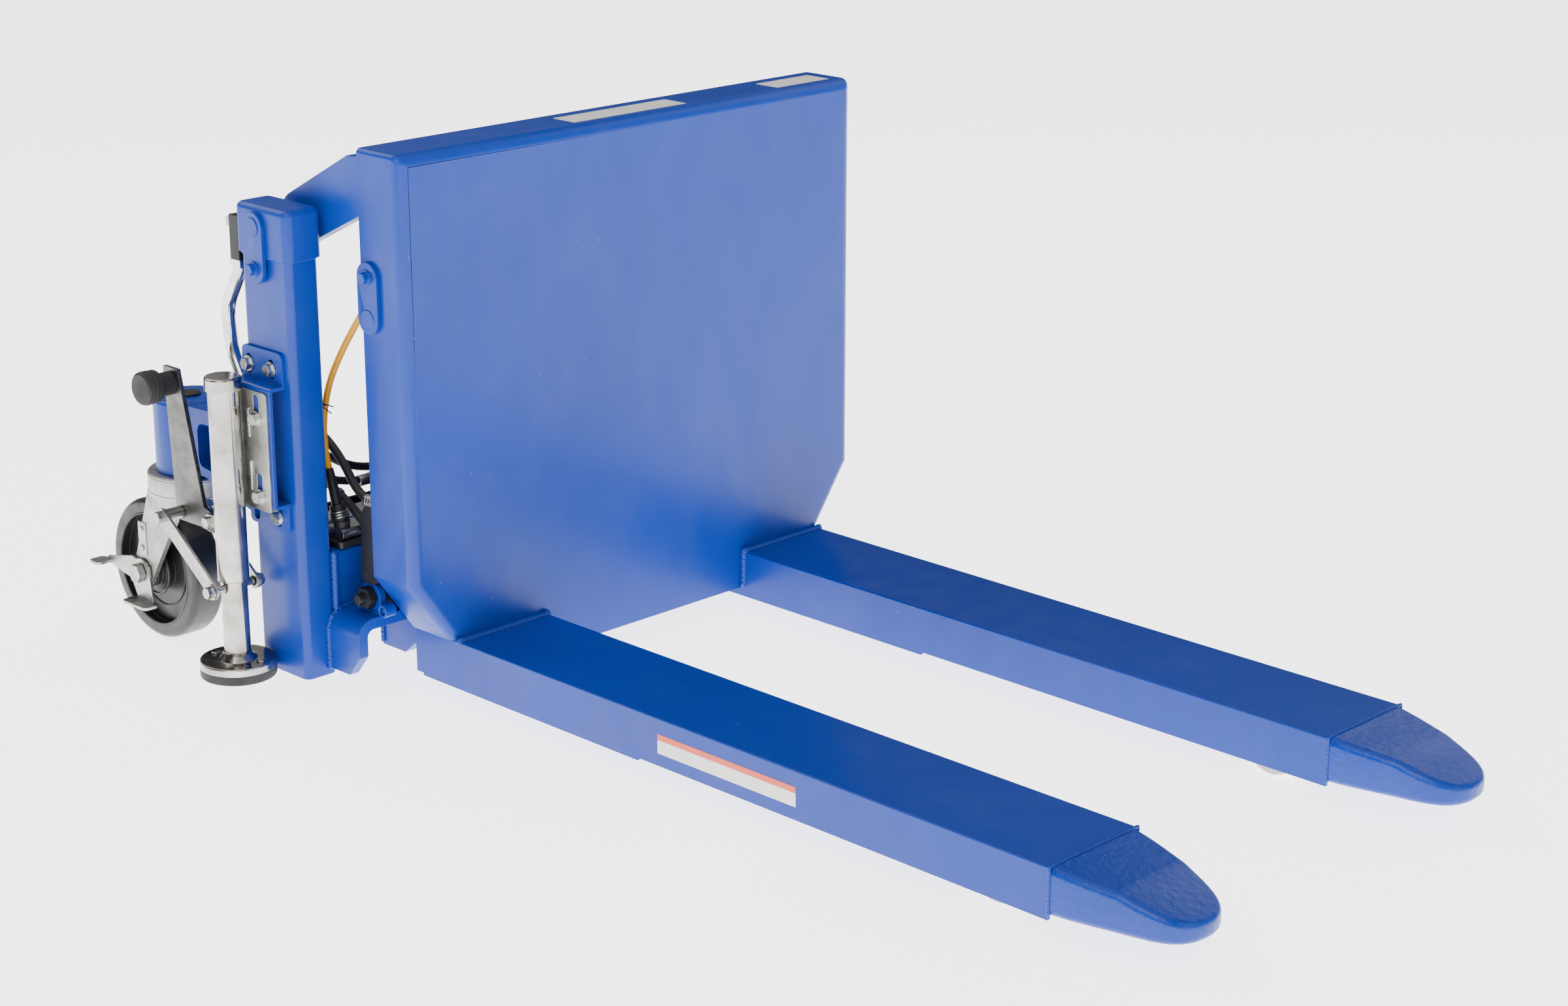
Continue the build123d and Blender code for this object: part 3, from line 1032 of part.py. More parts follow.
def push_handle():
    rear = column_rear
    points = [(rear - 17, -HANDLE_Y, 584), (rear - 25, -HANDLE_Y, 568), (rear - 55, -HANDLE_Y, 520),
              (rear - 48, -HANDLE_Y, 462), (rear - 26, -HANDLE_Y, 424), (rear - 9, -HANDLE_Y, 412)]
    path = FilletPolyline(*points, radius=[18, 60, 70, 18])
    section = Plane(origin=points[0], z_dir=Vector(*points[1]) - Vector(*points[0])) * Circle(HANDLE_RADIUS)
    tube = sweep(section, path=path)
    foot = block(rear - 14, rear, -HANDLE_Y - 10, -HANDLE_Y + 10, 400, 424)
    head = block(rear - 28, rear - 6, -HANDLE_Y - 10, -HANDLE_Y + 10, 582, 592)
    return tube + foot + head


def handle_clamp():
    cap_rear = COLUMN_X - CAP_DEPTH / 2
    return block(cap_rear - 20, cap_rear, -HANDLE_Y - 11, -HANDLE_Y + 11, 592, COLUMN_TOP + 44)


def frame_bolts():
    """The plated hexagon bolts of the base: lock bracket, clamp plate, handle and fulcrum bolts."""
    clamp_rear = COLUMN_X - CAP_DEPTH / 2 - 20
    handle_bolt = rod_between(10.0, (clamp_rear - 2, -HANDLE_Y, 640), (clamp_rear, -HANDLE_Y, 640))
    hexagon = extrude(RegularPolygon(8.5, 6, major_radius=False), 8)
    handle_bolt = handle_bolt + Pos(clamp_rear - 10, -HANDLE_Y, 640) * Rot(0, 90, 0) * hexagon
    solids = [pair(handle_bolt)]
    seat = -column_outer_y - SHEET
    for x in BRACKET_BOLTS_X:
        solids.append(flange_bolt_y(x, BRACKET_TOP - 24, seat, -1))
    solids.append(flange_bolt_y(BRACKET_BOLTS_X[1], BRACKET_BOTTOM + 18, seat, -1))
    clamp_seat = -column_outer_y - BRACKET_STEP - CLAMP_PLATE
    for z in CLAMP_BOLTS_Z:
        solids.append(flange_bolt_y(CLAMP_BOLT_X, z, clamp_seat, -1))
    fulcrum_x, fulcrum_z = FULCRUM
    reach = PEDAL_PLATE / 2 + 5
    bolt = rod_y(LOCK_BOLT_RADIUS, LOCK_Y - reach, LOCK_Y + reach, fulcrum_x, fulcrum_z)
    bolt = bolt + hexagon_y(14.0, LOCK_Y - reach - 6, LOCK_Y - reach, fulcrum_x, fulcrum_z)
    bolt = bolt + hexagon_y(14.0, LOCK_Y + reach, LOCK_Y + reach + 6, fulcrum_x, fulcrum_z)
    solids.append(bolt)
    return group(*solids)


def placards():
    """Thin blank notice plates on the forks' outer sides and on the backrest's top."""
    side = -fork_outer_y - PLACARD_THICKNESS
    right = block(388, 628, side, -fork_outer_y, 51, 77)
    centre = block(-63, -20, -100, 103, BACKREST_TOP, BACKREST_TOP + PLACARD_THICKNESS)
    corner = block(-63, -20, 280, 384, BACKREST_TOP, BACKREST_TOP + PLACARD_THICKNESS)
    return group(right, mirrored(right), centre, corner)


CONNECTOR_FOOT = (-176.0, -CYLINDER_Y - PLUG_OFFSET, BEAM_TOP + JUNCTION_HEIGHT + 15)
CONNECTOR_TOP = (-199.0, -CYLINDER_Y - PLUG_OFFSET, 305.0)


def cable_connector():
    """The round plug on the junction box: socket, coupling ring, body and tapered strain relief."""
    foot = Vector(*CONNECTOR_FOOT)
    top = Vector(*CONNECTOR_TOP)
    axis = (top - foot).normalized()
    length = (top - foot).length
    body = rod_between(11.0, tuple(foot + axis * 5), tuple(foot + axis * 30))
    body = body + rod_between(12.5, tuple(foot + axis * 10), tuple(foot + axis * 18))
    body = body + rod_between(7.5, tuple(foot + axis * 30), tuple(foot + axis * 44))
    relief_length = length - 44
    relief_plane = Plane(origin=foot + axis * (44 + relief_length / 2), z_dir=axis)
    relief = relief_plane * Cone(7.5, CABLE_RADIUS + 1.2, relief_length)
    base = rod_z(11.0, foot.Z, foot.Z + 9, foot.X, foot.Y)
    return body + relief + base


lift_end = LIFT_PORT[0]
lift_in = LIFT_PORT[1]
return_end = RETURN_PORT[0]

HOSE_LIFT_RIGHT = [
    (-436, -137, 186), (-436, -185, 186), (-428, -262, 222), (-388, -330, 262),
    (-322, -CYLINDER_Y + 4, 284), (-250, -CYLINDER_Y + 3, 278),
    tuple(lift_end - lift_in * 48), tuple(lift_end)]
HOSE_RETURN_RIGHT = [
    (-400, -137, 215), (-400, -180, 215), (-390, -246, 246), (-362, -306, 294),
    (-316, -CYLINDER_Y + 24, 333), (-258, -CYLINDER_Y + 9, 341), (-206, -CYLINDER_Y + 6, 312),
    (return_end.X - 34, -CYLINDER_Y, return_end.Z), tuple(return_end)]
HOSE_LIFT_LEFT = [(-279, -60, 222), (-246, -60, 222), (-226, -16, 221), (-224, 60, 220), (-226, 140, 220),
                  (-222, 220, 222), (-214, CYLINDER_Y - 80, 232), (-196, CYLINDER_Y - 25, 246),
                  (lift_end.X - lift_in.X * 30, CYLINDER_Y, lift_end.Z - lift_in.Z * 30),
                  (lift_end.X, CYLINDER_Y, lift_end.Z)]
SIGNAL_CABLE = [CONNECTOR_TOP, (-206.3, -CYLINDER_Y - PLUG_OFFSET, 329), (-208, -CYLINDER_Y - 20, 372),
                (-199, -CYLINDER_Y - 16, 420), (-182, -CYLINDER_Y - 7, 463),
                tuple(SWITCH_ENTRY - SWITCH_INWARD * 52), tuple(SWITCH_ENTRY)]


# ================================================================ collect the nodes
def right_and_left(name, shape):
    nodes[name + "_right"] = shape
    nodes[name + "_left"] = mirrored(shape)


def build_base():
    right_and_left("column", column())
    nodes["column_caps"] = pair(column_cap())
    nodes["tilt_pins"] = pair(group(tilt_pin(), keeper_bolt()))
    nodes["rear_beam"] = rear_beam()
    nodes["cross_members"] = pair(cross_member())
    right_and_left("base_leg", base_leg())
    nodes["roller_axles"] = pair(roller_axle())
    nodes["cylinder_lugs"] = pair(cylinder_lugs())
    nodes["cylinder_foot_pins"] = pair(foot_pin())
    nodes["cylinder_guards"] = pair(cylinder_guard())
    nodes["caster_mounts"] = pair(caster_mount())
    nodes["kingpins"] = pair(kingpin())
    nodes["push_handles"] = pair(push_handle())
    nodes["handle_clamps"] = pair(handle_clamp())
    nodes["frame_bolts"] = frame_bolts()


def build_power_unit():
    nodes["power_deck"] = power_deck()
    nodes["battery_box"] = battery_box()
    nodes["hydraulic_tank"] = hydraulic_tank()
    nodes["pump_motor"] = pump_motor()
    nodes["valve_block"] = valve_block()
    nodes["control_box"] = control_box()
    nodes["cable_connector"] = cable_connector()
    nodes["hose_lift_right"] = cord(HOSE_LIFT_RIGHT, HOSE_RADIUS, "hose_lift_right")
    nodes["hose_return_right"] = cord(HOSE_RETURN_RIGHT, HOSE_RADIUS, "hose_return_right")
    nodes["hose_lift_left"] = cord(HOSE_LIFT_LEFT, HOSE_RADIUS, "hose_lift_left")
    nodes["signal_cable"] = cord(SIGNAL_CABLE, CABLE_RADIUS, "signal_cable")


def build_carriage():
    nodes["backrest"] = backrest()
    nodes["backrest_ribs"] = backrest_ribs()
    nodes["tilt_arms"] = pair(tilt_arm())
    nodes["arm_bushes"] = pair(arm_bush())
    right_and_left("fork", fork())
    nodes["fork_tips"] = pair(fork_tip())
    nodes["fork_doublers"] = pair(fork_doublers())
    nodes["placards"] = placards()
    nodes["rod_head_pins"] = pair(group(head_pin(), head_pin_bolt()))


def build_cylinders_and_wheels():
    nodes["cylinder_barrel_right"] = barrel(True)
    nodes["cylinder_barrel_left"] = mirrored(barrel(False))
    right_and_left("cylinder_rod", piston_rod())
    right_and_left("load_roller", load_roller())
    right_and_left("caster_yoke", caster_yoke())
    right_and_left("caster_wheel", caster_wheel())
    right_and_left("caster_brake", caster_brake())


def build_floor_lock():
    nodes["lock_bracket"] = lock_bracket()
    nodes["lock_plate"] = lock_plate()
    nodes["lock_tube"] = lock_tube()
    nodes["lock_cap"] = lock_cap()
    nodes["lock_foot"] = lock_foot()
    nodes["lock_pad"] = lock_pad()
    nodes["lock_spring"] = lock_spring()
    nodes["lock_pedal"] = lock_pedal()
    nodes["pedal_pad"] = pedal_pad()
    nodes["lock_links"] = lock_links()


build_base()
build_power_unit()
build_carriage()
build_cylinders_and_wheels()
build_floor_lock()

whole = Compound([solid for shape in nodes.values() for solid in shape.solids()])
box = whole.bounding_box(optimal=True)
origin_x = (box.min.X + box.max.X) / 2
origin_y = (box.min.Y + box.max.Y) / 2
origin_z = box.min.Z
print(f"box {box.size.X:.1f} x {box.size.Y:.1f} x {box.size.Z:.1f} mm,",
      f"origin at {origin_x:.3f}, {origin_y:.3f}, {origin_z:.3f}")

os.makedirs("parts", exist_ok=True)
for name, shape in nodes.items():
    export_step(Pos(-origin_x, -origin_y, -origin_z) * shape, f"parts/{name}.step")
print(len(nodes), "nodes written")
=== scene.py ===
"""Looks of a portable powered pallet tilter: finishes, welds, fittings, hoses, floor and light."""

import json
from math import cos, pi, radians, sin

import bmesh
import bpy
from bpy.props import FloatProperty, FloatVectorProperty, PointerProperty
from mathutils import Matrix, Vector
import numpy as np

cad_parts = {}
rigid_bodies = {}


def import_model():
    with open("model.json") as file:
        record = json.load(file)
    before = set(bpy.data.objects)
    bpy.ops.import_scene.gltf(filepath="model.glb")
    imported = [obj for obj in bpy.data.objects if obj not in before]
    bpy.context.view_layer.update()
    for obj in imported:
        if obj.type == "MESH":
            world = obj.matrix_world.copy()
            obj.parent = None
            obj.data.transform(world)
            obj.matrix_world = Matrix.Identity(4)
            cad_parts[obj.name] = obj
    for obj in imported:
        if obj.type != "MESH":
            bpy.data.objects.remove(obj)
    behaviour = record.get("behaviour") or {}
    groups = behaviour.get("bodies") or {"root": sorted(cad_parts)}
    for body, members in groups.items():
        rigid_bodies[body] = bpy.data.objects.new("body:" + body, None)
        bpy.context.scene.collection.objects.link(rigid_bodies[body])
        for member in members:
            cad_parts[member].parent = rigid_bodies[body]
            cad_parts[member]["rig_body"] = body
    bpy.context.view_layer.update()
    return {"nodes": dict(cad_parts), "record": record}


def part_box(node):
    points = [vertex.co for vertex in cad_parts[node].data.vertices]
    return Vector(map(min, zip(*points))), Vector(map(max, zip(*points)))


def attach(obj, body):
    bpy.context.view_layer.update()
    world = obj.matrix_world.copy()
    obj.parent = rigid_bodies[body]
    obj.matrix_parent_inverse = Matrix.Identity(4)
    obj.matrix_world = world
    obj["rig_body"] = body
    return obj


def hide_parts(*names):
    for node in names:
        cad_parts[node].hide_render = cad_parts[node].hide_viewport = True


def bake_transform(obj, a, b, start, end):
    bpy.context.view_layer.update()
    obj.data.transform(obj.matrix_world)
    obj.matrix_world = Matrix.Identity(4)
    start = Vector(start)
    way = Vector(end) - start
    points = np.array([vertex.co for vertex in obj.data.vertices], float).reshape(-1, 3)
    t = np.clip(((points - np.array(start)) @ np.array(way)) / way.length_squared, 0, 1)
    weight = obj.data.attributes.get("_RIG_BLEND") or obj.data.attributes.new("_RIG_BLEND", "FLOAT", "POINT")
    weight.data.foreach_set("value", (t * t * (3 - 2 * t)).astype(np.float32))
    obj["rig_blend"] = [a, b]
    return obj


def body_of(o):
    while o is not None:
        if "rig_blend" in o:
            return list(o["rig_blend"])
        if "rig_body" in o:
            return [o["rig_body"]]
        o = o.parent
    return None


bl_info = {
    "name": "Pallet tilter looks",
    "version": (1, 0, 0),
    "blender": (4, 5, 0),
    "location": "View3D > Sidebar > Pallet tilter",
    "description": "Finishes and small parts of a powered pallet tilter, built around its packed frame",
    "category": "Object",
}

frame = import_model()

LOAD_FACE_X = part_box("backrest")[1][0]
MID_Y = (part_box("rear_beam")[0][1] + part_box("rear_beam")[1][1]) / 2
RIGHT = -1
LEFT = 1
SIDES = ((RIGHT, "right"), (LEFT, "left"))

# Places of the machine, in millimetres ahead of the load face, out from its middle and over the floor.
COLUMN_FRONT = -154.2
COLUMN_REAR = -255.8
COLUMN_INNER = 424.2
COLUMN_OUTER = 475.0
COLUMN_STEP = 608.0
FORK_INNER = 186.6
FORK_OUTER = 343.2
TIP_WELD = 1017.5
RIB_WELD_HEIGHTS = (150, 400, 650)
CYLINDER_OUT = 370
CYLINDER_FOOT = (-110, 148)
CYLINDER_HEAD = (-66, 538)
LIFT_PORT_LEAN = 41
CASTER_OUT = 436
KINGPIN = -449
AXLE = -527
AXLE_HEIGHT = 101.6
LOCK_TUBE = (-235, -528)
PEDAL_PAD = (-350, 422)
TANK_PORTS = ((-436, 186), (-400, 215))
TANK_PORT_FACE = -137
FRONT_PORT = (-60, 222)
PLUG_FOOT = (-176, -391, 229)
PLUG_TOP = (-199, -391, 305)
TANK_CAP = (-440, -95)
MOTOR = (-372, -48)
CONTROL_BOX_REAR = -455
BEZEL_REAR = -459
BUTTON_HEIGHT = 330
STOP_HEIGHT = 328
HOSE_RADIUS = 6.0
CABLE_RADIUS = 4.5

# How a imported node's copy is merged, shaded and edged: metres and degrees.
COPY_MERGE = 2e-6
PIECE_MERGE = 1e-6
FLAT_ANGLE = 0.4
COPY_SHADE_ANGLE = 28
EDGE_ANGLE = 38
BEAD_SHADE_ANGLE = 60

# The camera: its place in millimetres, its turns in degrees and its shifts as shares of the sensor.
CAMERA_PLACE = (2931.56, -2699.70, 1480.03)
CAMERA_TURN = 44.407
CAMERA_DOWN = 17.537
CAMERA_ROLL = 0.105
CAMERA_SHIFT = (-0.0060208333, -0.004)

# The soft lights: name, place and size in metres, and share of the key light's power.
LAMPS = (
    ("key", (1.6, -3.4, 3.6), 3.0, 1.0),
    ("fill", (4.2, 0.6, 2.6), 3.4, 0.38),
    ("back", (-2.8, -0.8, 3.2), 2.6, 0.55),
    ("far_side", (0.4, 3.8, 2.6), 3.2, 0.30),
    ("top", (0.2, 0.0, 4.4), 4.0, 0.45),
)
LAMP_TARGET = (0.1, 0, 0.3)
LAMP_COLOUR = (1.0, 0.985, 0.96)
FLOOR_HALF = 40.0


# ------------------------------------------------------------------ places and meshes
def place(x, y, z):
    """A point from millimetres ahead of the load face, left of the mid-plane and over the floor."""
    return Vector((LOAD_FACE_X + x / 1000, MID_Y + y / 1000, z / 1000))


def mm(value):
    return value / 1000


def round_edges(bm, edges, size, segments=2):
    """Rounds edges by so many millimetres."""
    bmesh.ops.bevel(bm, geom=list(set(edges)), offset=mm(size), segments=segments, profile=0.5,
                    affect="EDGES", material=-1)


def add_box(bm, x0, x1, y0, y1, z0, z1, edge=0.0, segments=2):
    """A box between two corners, with its edges rounded."""
    centre = place((x0 + x1) / 2, (y0 + y1) / 2, (z0 + z1) / 2)
    size = Matrix.Diagonal((mm(abs(x1 - x0)), mm(abs(y1 - y0)), mm(abs(z1 - z0)), 1))
    made = bmesh.ops.create_cube(bm, size=1.0, matrix=Matrix.Translation(centre) @ size)
    if edge:
        round_edges(bm, [e for v in made["verts"] for e in v.link_edges], edge, segments)


def add_drum(bm, radius, start, end, segments=40, edge=0.0, far_radius=None):
    """A cylinder or cone from one point to another, with its rims rounded."""
    axis = end - start
    turn = axis.to_track_quat("Z", "Y").to_matrix().to_4x4()
    matrix = Matrix.Translation((start + end) / 2) @ turn
    far = radius if far_radius is None else far_radius
    made = bmesh.ops.create_cone(bm, cap_ends=True, segments=segments, radius1=mm(radius), radius2=mm(far),
                                 depth=axis.length, matrix=matrix)
    if edge:
        rims = [e for v in made["verts"] for e in v.link_edges
                if abs((e.verts[0].co - e.verts[1].co).normalized().dot(axis.normalized())) < 0.2]
        round_edges(bm, rims, edge)


def add_ring(bm, radius, tube, centre, axis, steps=48, sides=10):
    """A torus: a small circle spun once about an axis."""
    turn = axis.normalized().to_track_quat("Z", "Y").to_matrix().to_4x4()
    lean = Matrix.Rotation(radians(90), 4, "X")
    matrix = Matrix.Translation(centre) @ turn @ Matrix.Translation((mm(radius), 0, 0)) @ lean
    made = bmesh.ops.create_circle(bm, cap_ends=False, segments=sides, radius=mm(tube), matrix=matrix)
    geometry = made["verts"] + list({e for v in made["verts"] for e in v.link_edges})
    bmesh.ops.spin(bm, geom=geometry, cent=centre, axis=axis.normalized(), angle=2 * pi, steps=steps,
                   use_merge=True)


def add_hexagon(bm, across, start, end, edge=0.8):
    """A bolt head or nut, with its corners broken."""
    add_drum(bm, across / 2 / cos(pi / 6), start, end, segments=6, edge=edge)


def add_bead(bm, points, width, pitch=3.4, height=0.55):
    """A weld bead: overlapping scales laid along straight runs, built apart and then joined in."""
    bead = bmesh.new()
    lean = Matrix.Rotation(radians(14), 4, "Y")
    for start, end in zip(points, points[1:]):
        run = end - start
        count = max(2, int(run.length / mm(pitch)))
        turn = run.to_track_quat("X", "Z").to_matrix().to_4x4()
        for index in range(count + 1):
            wobble = 1.0 + 0.10 * sin(index * 2.7 + width)
            size = Matrix.Diagonal((mm(pitch * 1.25), mm(width * 0.5 * wobble), mm(width * height), 1))
            spot = Matrix.Translation(start + run * (index / count)) @ turn @ lean
            bmesh.ops.create_uvsphere(bead, u_segments=10, v_segments=6, radius=1.0, matrix=spot @ size)
    joined = bpy.data.meshes.new("bead")
    bead.to_mesh(joined)
    bead.free()
    bm.from_mesh(joined)
    bpy.data.meshes.remove(joined)


def finish_piece(bm, name, material, body, smooth=35):
    """Closes a piece, turns its faces outwards, gives it its material and rides it on a body."""
    bmesh.ops.remove_doubles(bm, verts=bm.verts, dist=PIECE_MERGE)
    bmesh.ops.recalc_face_normals(bm, faces=bm.faces)
    mesh = bpy.data.meshes.new(name)
    bm.to_mesh(mesh)
    bm.free()
    piece = bpy.data.objects.new(name, mesh)
    bpy.context.scene.collection.objects.link(piece)
    mesh.materials.append(material)
    mesh.shade_smooth()
    mesh.set_sharp_from_angle(angle=radians(smooth))
    if body:
        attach(piece, body)
    return piece


# ------------------------------------------------------------------ finishes
def linear(red, green, blue):
    """A colour from the 0 to 255 values of a paint card."""
    def one(value):
        value = value / 255
        return value / 12.92 if value <= 0.04045 else ((value + 0.055) / 1.055) ** 2.4
    return one(red), one(green), one(blue), 1.0


class Finish:
    """A material's node tree, built up layer by layer on Object coordinates."""

    def __init__(self, name, roughness=0.5, metallic=0.0):
        self.material = bpy.data.materials.new(name)
        self.material.use_nodes = True
        self.nodes = self.material.node_tree.nodes
        self.links = self.material.node_tree.links
        self.shader = self.nodes["Principled BSDF"]
        self.shader.inputs["Roughness"].default_value = roughness
        self.shader.inputs["Metallic"].default_value = metallic
        self.coordinates = self.nodes.new("ShaderNodeTexCoord")
        self.height = None

    def pattern(self, scale, detail=4.0, stretch=(1, 1, 1), kind="ShaderNodeTexNoise"):
        """A noise of so many spots per metre, stretched along an axis."""
        mapping = self.nodes.new("ShaderNodeMapping")
        mapping.inputs["Scale"].default_value = stretch
        self.links.new(self.coordinates.outputs["Object"], mapping.inputs["Vector"])
        texture = self.nodes.new(kind)
        texture.inputs["Scale"].default_value = scale
        if "Detail" in texture.inputs:
            texture.inputs["Detail"].default_value = detail
        self.links.new(mapping.outputs["Vector"], texture.inputs["Vector"])
        return texture.outputs[0]

    def spread(self, source, low, high, out_low=0.0, out_high=1.0):
        """Stretches a pattern's contrast to a range."""
        ramp = self.nodes.new("ShaderNodeMapRange")
        ramp.inputs["From Min"].default_value = low
        ramp.inputs["From Max"].default_value = high
        ramp.inputs["To Min"].default_value = out_low
        ramp.inputs["To Max"].default_value = out_high
        self.links.new(source, ramp.inputs["Value"])
        return ramp.outputs["Result"]

    def mix(self, factor, first, second):
        """Mixes two colours, each a value or another node's output."""
        node = self.nodes.new("ShaderNodeMix")
        node.data_type = "RGBA"
        self.links.new(factor, node.inputs["Factor"])
        for socket, value in ((node.inputs[6], first), (node.inputs[7], second)):
            if isinstance(value, tuple):
                socket.default_value = value
            else:
                self.links.new(value, socket)
        return node.outputs[2]

    def multiply(self, first, second):
        node = self.nodes.new("ShaderNodeMath")
        node.operation = "MULTIPLY"
        self.links.new(first, node.inputs[0])
        if isinstance(second, float):
            node.inputs[1].default_value = second
        else:
            self.links.new(second, node.inputs[1])
        return node.outputs[0]

    def edges(self, radius):
        """A mask of the outer edges, from how far a rounded normal turns from the true one."""
        bevel = self.nodes.new("ShaderNodeBevel")
        bevel.samples = 4
        bevel.inputs["Radius"].default_value = mm(radius)
        geometry = self.nodes.new("ShaderNodeNewGeometry")
        dot = self.nodes.new("ShaderNodeVectorMath")
        dot.operation = "DOT_PRODUCT"
        self.links.new(bevel.outputs["Normal"], dot.inputs[0])
        self.links.new(geometry.outputs["Normal"], dot.inputs[1])
        return self.spread(dot.outputs["Value"], 0.995, 0.86)

    def bump(self, source, depth, strength=1.0):
        """Adds a height pattern, in millimetres."""
        node = self.nodes.new("ShaderNodeBump")
        node.inputs["Strength"].default_value = strength
        node.inputs["Distance"].default_value = mm(depth)
        self.links.new(source, node.inputs["Height"])
        if self.height:
            self.links.new(self.height, node.inputs["Normal"])
        self.height = node.outputs["Normal"]

    def soft_edges(self, radius):
        bevel = self.nodes.new("ShaderNodeBevel")
        bevel.samples = 4
        bevel.inputs["Radius"].default_value = mm(radius)
        self.height = bevel.outputs["Normal"]

    def done(self, colour=None, roughness=None):
        if colour is not None:
            if isinstance(colour, tuple):
                self.shader.inputs["Base Color"].default_value = colour
            else:
                self.links.new(colour, self.shader.inputs["Base Color"])
        if roughness is not None:
            self.links.new(roughness, self.shader.inputs["Roughness"])
        if self.height:
            self.links.new(self.height, self.shader.inputs["Normal"])
        return self.material


def enamel(name, colour, shade, roughness, peel=0.05, cast=0.0):
    """Sprayed enamel: slow colour drift, orange peel, thin painted highlights along the edges, a few chips
    and dust.
    """
    finish = Finish(name, roughness)
    finish.shader.inputs["Coat Weight"].default_value = 0.06
    finish.shader.inputs["Specular IOR Level"].default_value = 0.30
    finish.shader.inputs["Coat Roughness"].default_value = 0.16
    finish.soft_edges(0.8)
    drift = finish.spread(finish.pattern(3.2, 3.0), 0.35, 0.65)
    body = finish.mix(drift, colour, shade)
    # Painted highlight: patches along the outer edges are mixed towards a paler colour, a sheen painted into
    # the enamel and not wear.
    light = tuple(min(1.0, c * 1.55 + 0.02) for c in colour[:3]) + (1.0,)
    painted_edge_sheen = finish.multiply(finish.edges(1.1), finish.spread(finish.pattern(38.0, 5.0), 0.46, 0.70))
    body = finish.mix(finish.multiply(painted_edge_sheen, 0.55), body, light)
    chips = finish.spread(finish.pattern(150.0, 2.0), 0.76, 0.775)
    chipped = finish.multiply(chips, finish.spread(finish.pattern(6.0, 2.0), 0.56, 0.66))
    body = finish.mix(chipped, body, linear(116, 118, 121))
    dust = finish.spread(finish.pattern(11.0, 6.0), 0.52, 0.82, 0.0, 0.03)
    body = finish.mix(dust, body, linear(150, 156, 168))
    streaks = finish.pattern(22.0, 5.0, (1, 1, 0.35))
    rough = finish.spread(streaks, 0.3, 0.7, roughness - 0.06, roughness + 0.09)
    finish.bump(finish.pattern(420.0, 2.0), peel)
    if cast:
        finish.bump(finish.pattern(105.0, 4.0), cast)
    return finish.done(body, rough)


def plated(name, colour, shade, roughness, stretch=(1, 1, 1), scale=60.0, depth=0.03, spangle=True):
    """Plated or bare metal: patchy plating, spangle and fine drawn lines."""
    finish = Finish(name, roughness, 1.0)
    finish.soft_edges(0.5)
    patch = finish.spread(finish.pattern(24.0, 6.0), 0.32, 0.68)
    body = finish.mix(patch, colour, shade)
    if spangle:
        cells = finish.spread(finish.pattern(120.0, 0.0, kind="ShaderNodeTexVoronoi"), 0.0, 0.9)
        body = finish.mix(finish.multiply(cells, 0.28), body, linear(215, 216, 212))
    rough = finish.spread(finish.pattern(scale, 7.0, stretch), 0.3, 0.7, roughness - 0.07, roughness + 0.12)
    finish.bump(finish.pattern(scale * 6, 3.0, stretch), depth)
    return finish.done(body, rough)


def moulded(name, colour, shade, roughness, grain=300.0, depth=0.05, wear=0.3):
    """Moulded plastic or rubber: fine grain, dusty patches and greyed edges."""
    finish = Finish(name, roughness)
    finish.soft_edges(0.6)
    patch = finish.spread(finish.pattern(14.0, 7.0), 0.36, 0.66)
    body = finish.mix(patch, colour, shade)
    grey = tuple(c * 0.6 + 0.09 for c in shade[:3]) + (1.0,)
    body = finish.mix(finish.multiply(finish.edges(1.0), wear), body, grey)
    rough = finish.spread(finish.pattern(45.0, 5.0), 0.3, 0.7, roughness - 0.08, roughness + 0.12)
    finish.bump(finish.pattern(grain, 3.0), depth)
    return finish.done(body, rough)


def placard():
    """White vinyl, with one plain colour band and faint rules on the plates that stand upright."""
    finish = Finish("blank_placard", 0.34)
    spot = finish.nodes.new("ShaderNodeSeparateXYZ")
    finish.links.new(finish.coordinates.outputs["Object"], spot.inputs["Vector"])
    cloud = finish.spread(finish.pattern(30.0, 4.0), 0.35, 0.65)
    white = finish.mix(cloud, linear(240, 239, 235), linear(228, 227, 222))
    rules = finish.spread(finish.pattern(1.0, 0.0, (0, 0, 190.0), "ShaderNodeTexWave"), 0.62, 0.70)
    faint = finish.mix(finish.multiply(rules, 0.45), white, linear(120, 120, 120))
    band = finish.spread(spot.outputs["Z"], 0.0688, 0.0690)
    side = finish.mix(band, faint, linear(226, 84, 54))
    on_top = finish.spread(spot.outputs["Z"], 0.50, 0.51)
    return finish.done(finish.mix(on_top, side, white))


FINISHES = {}

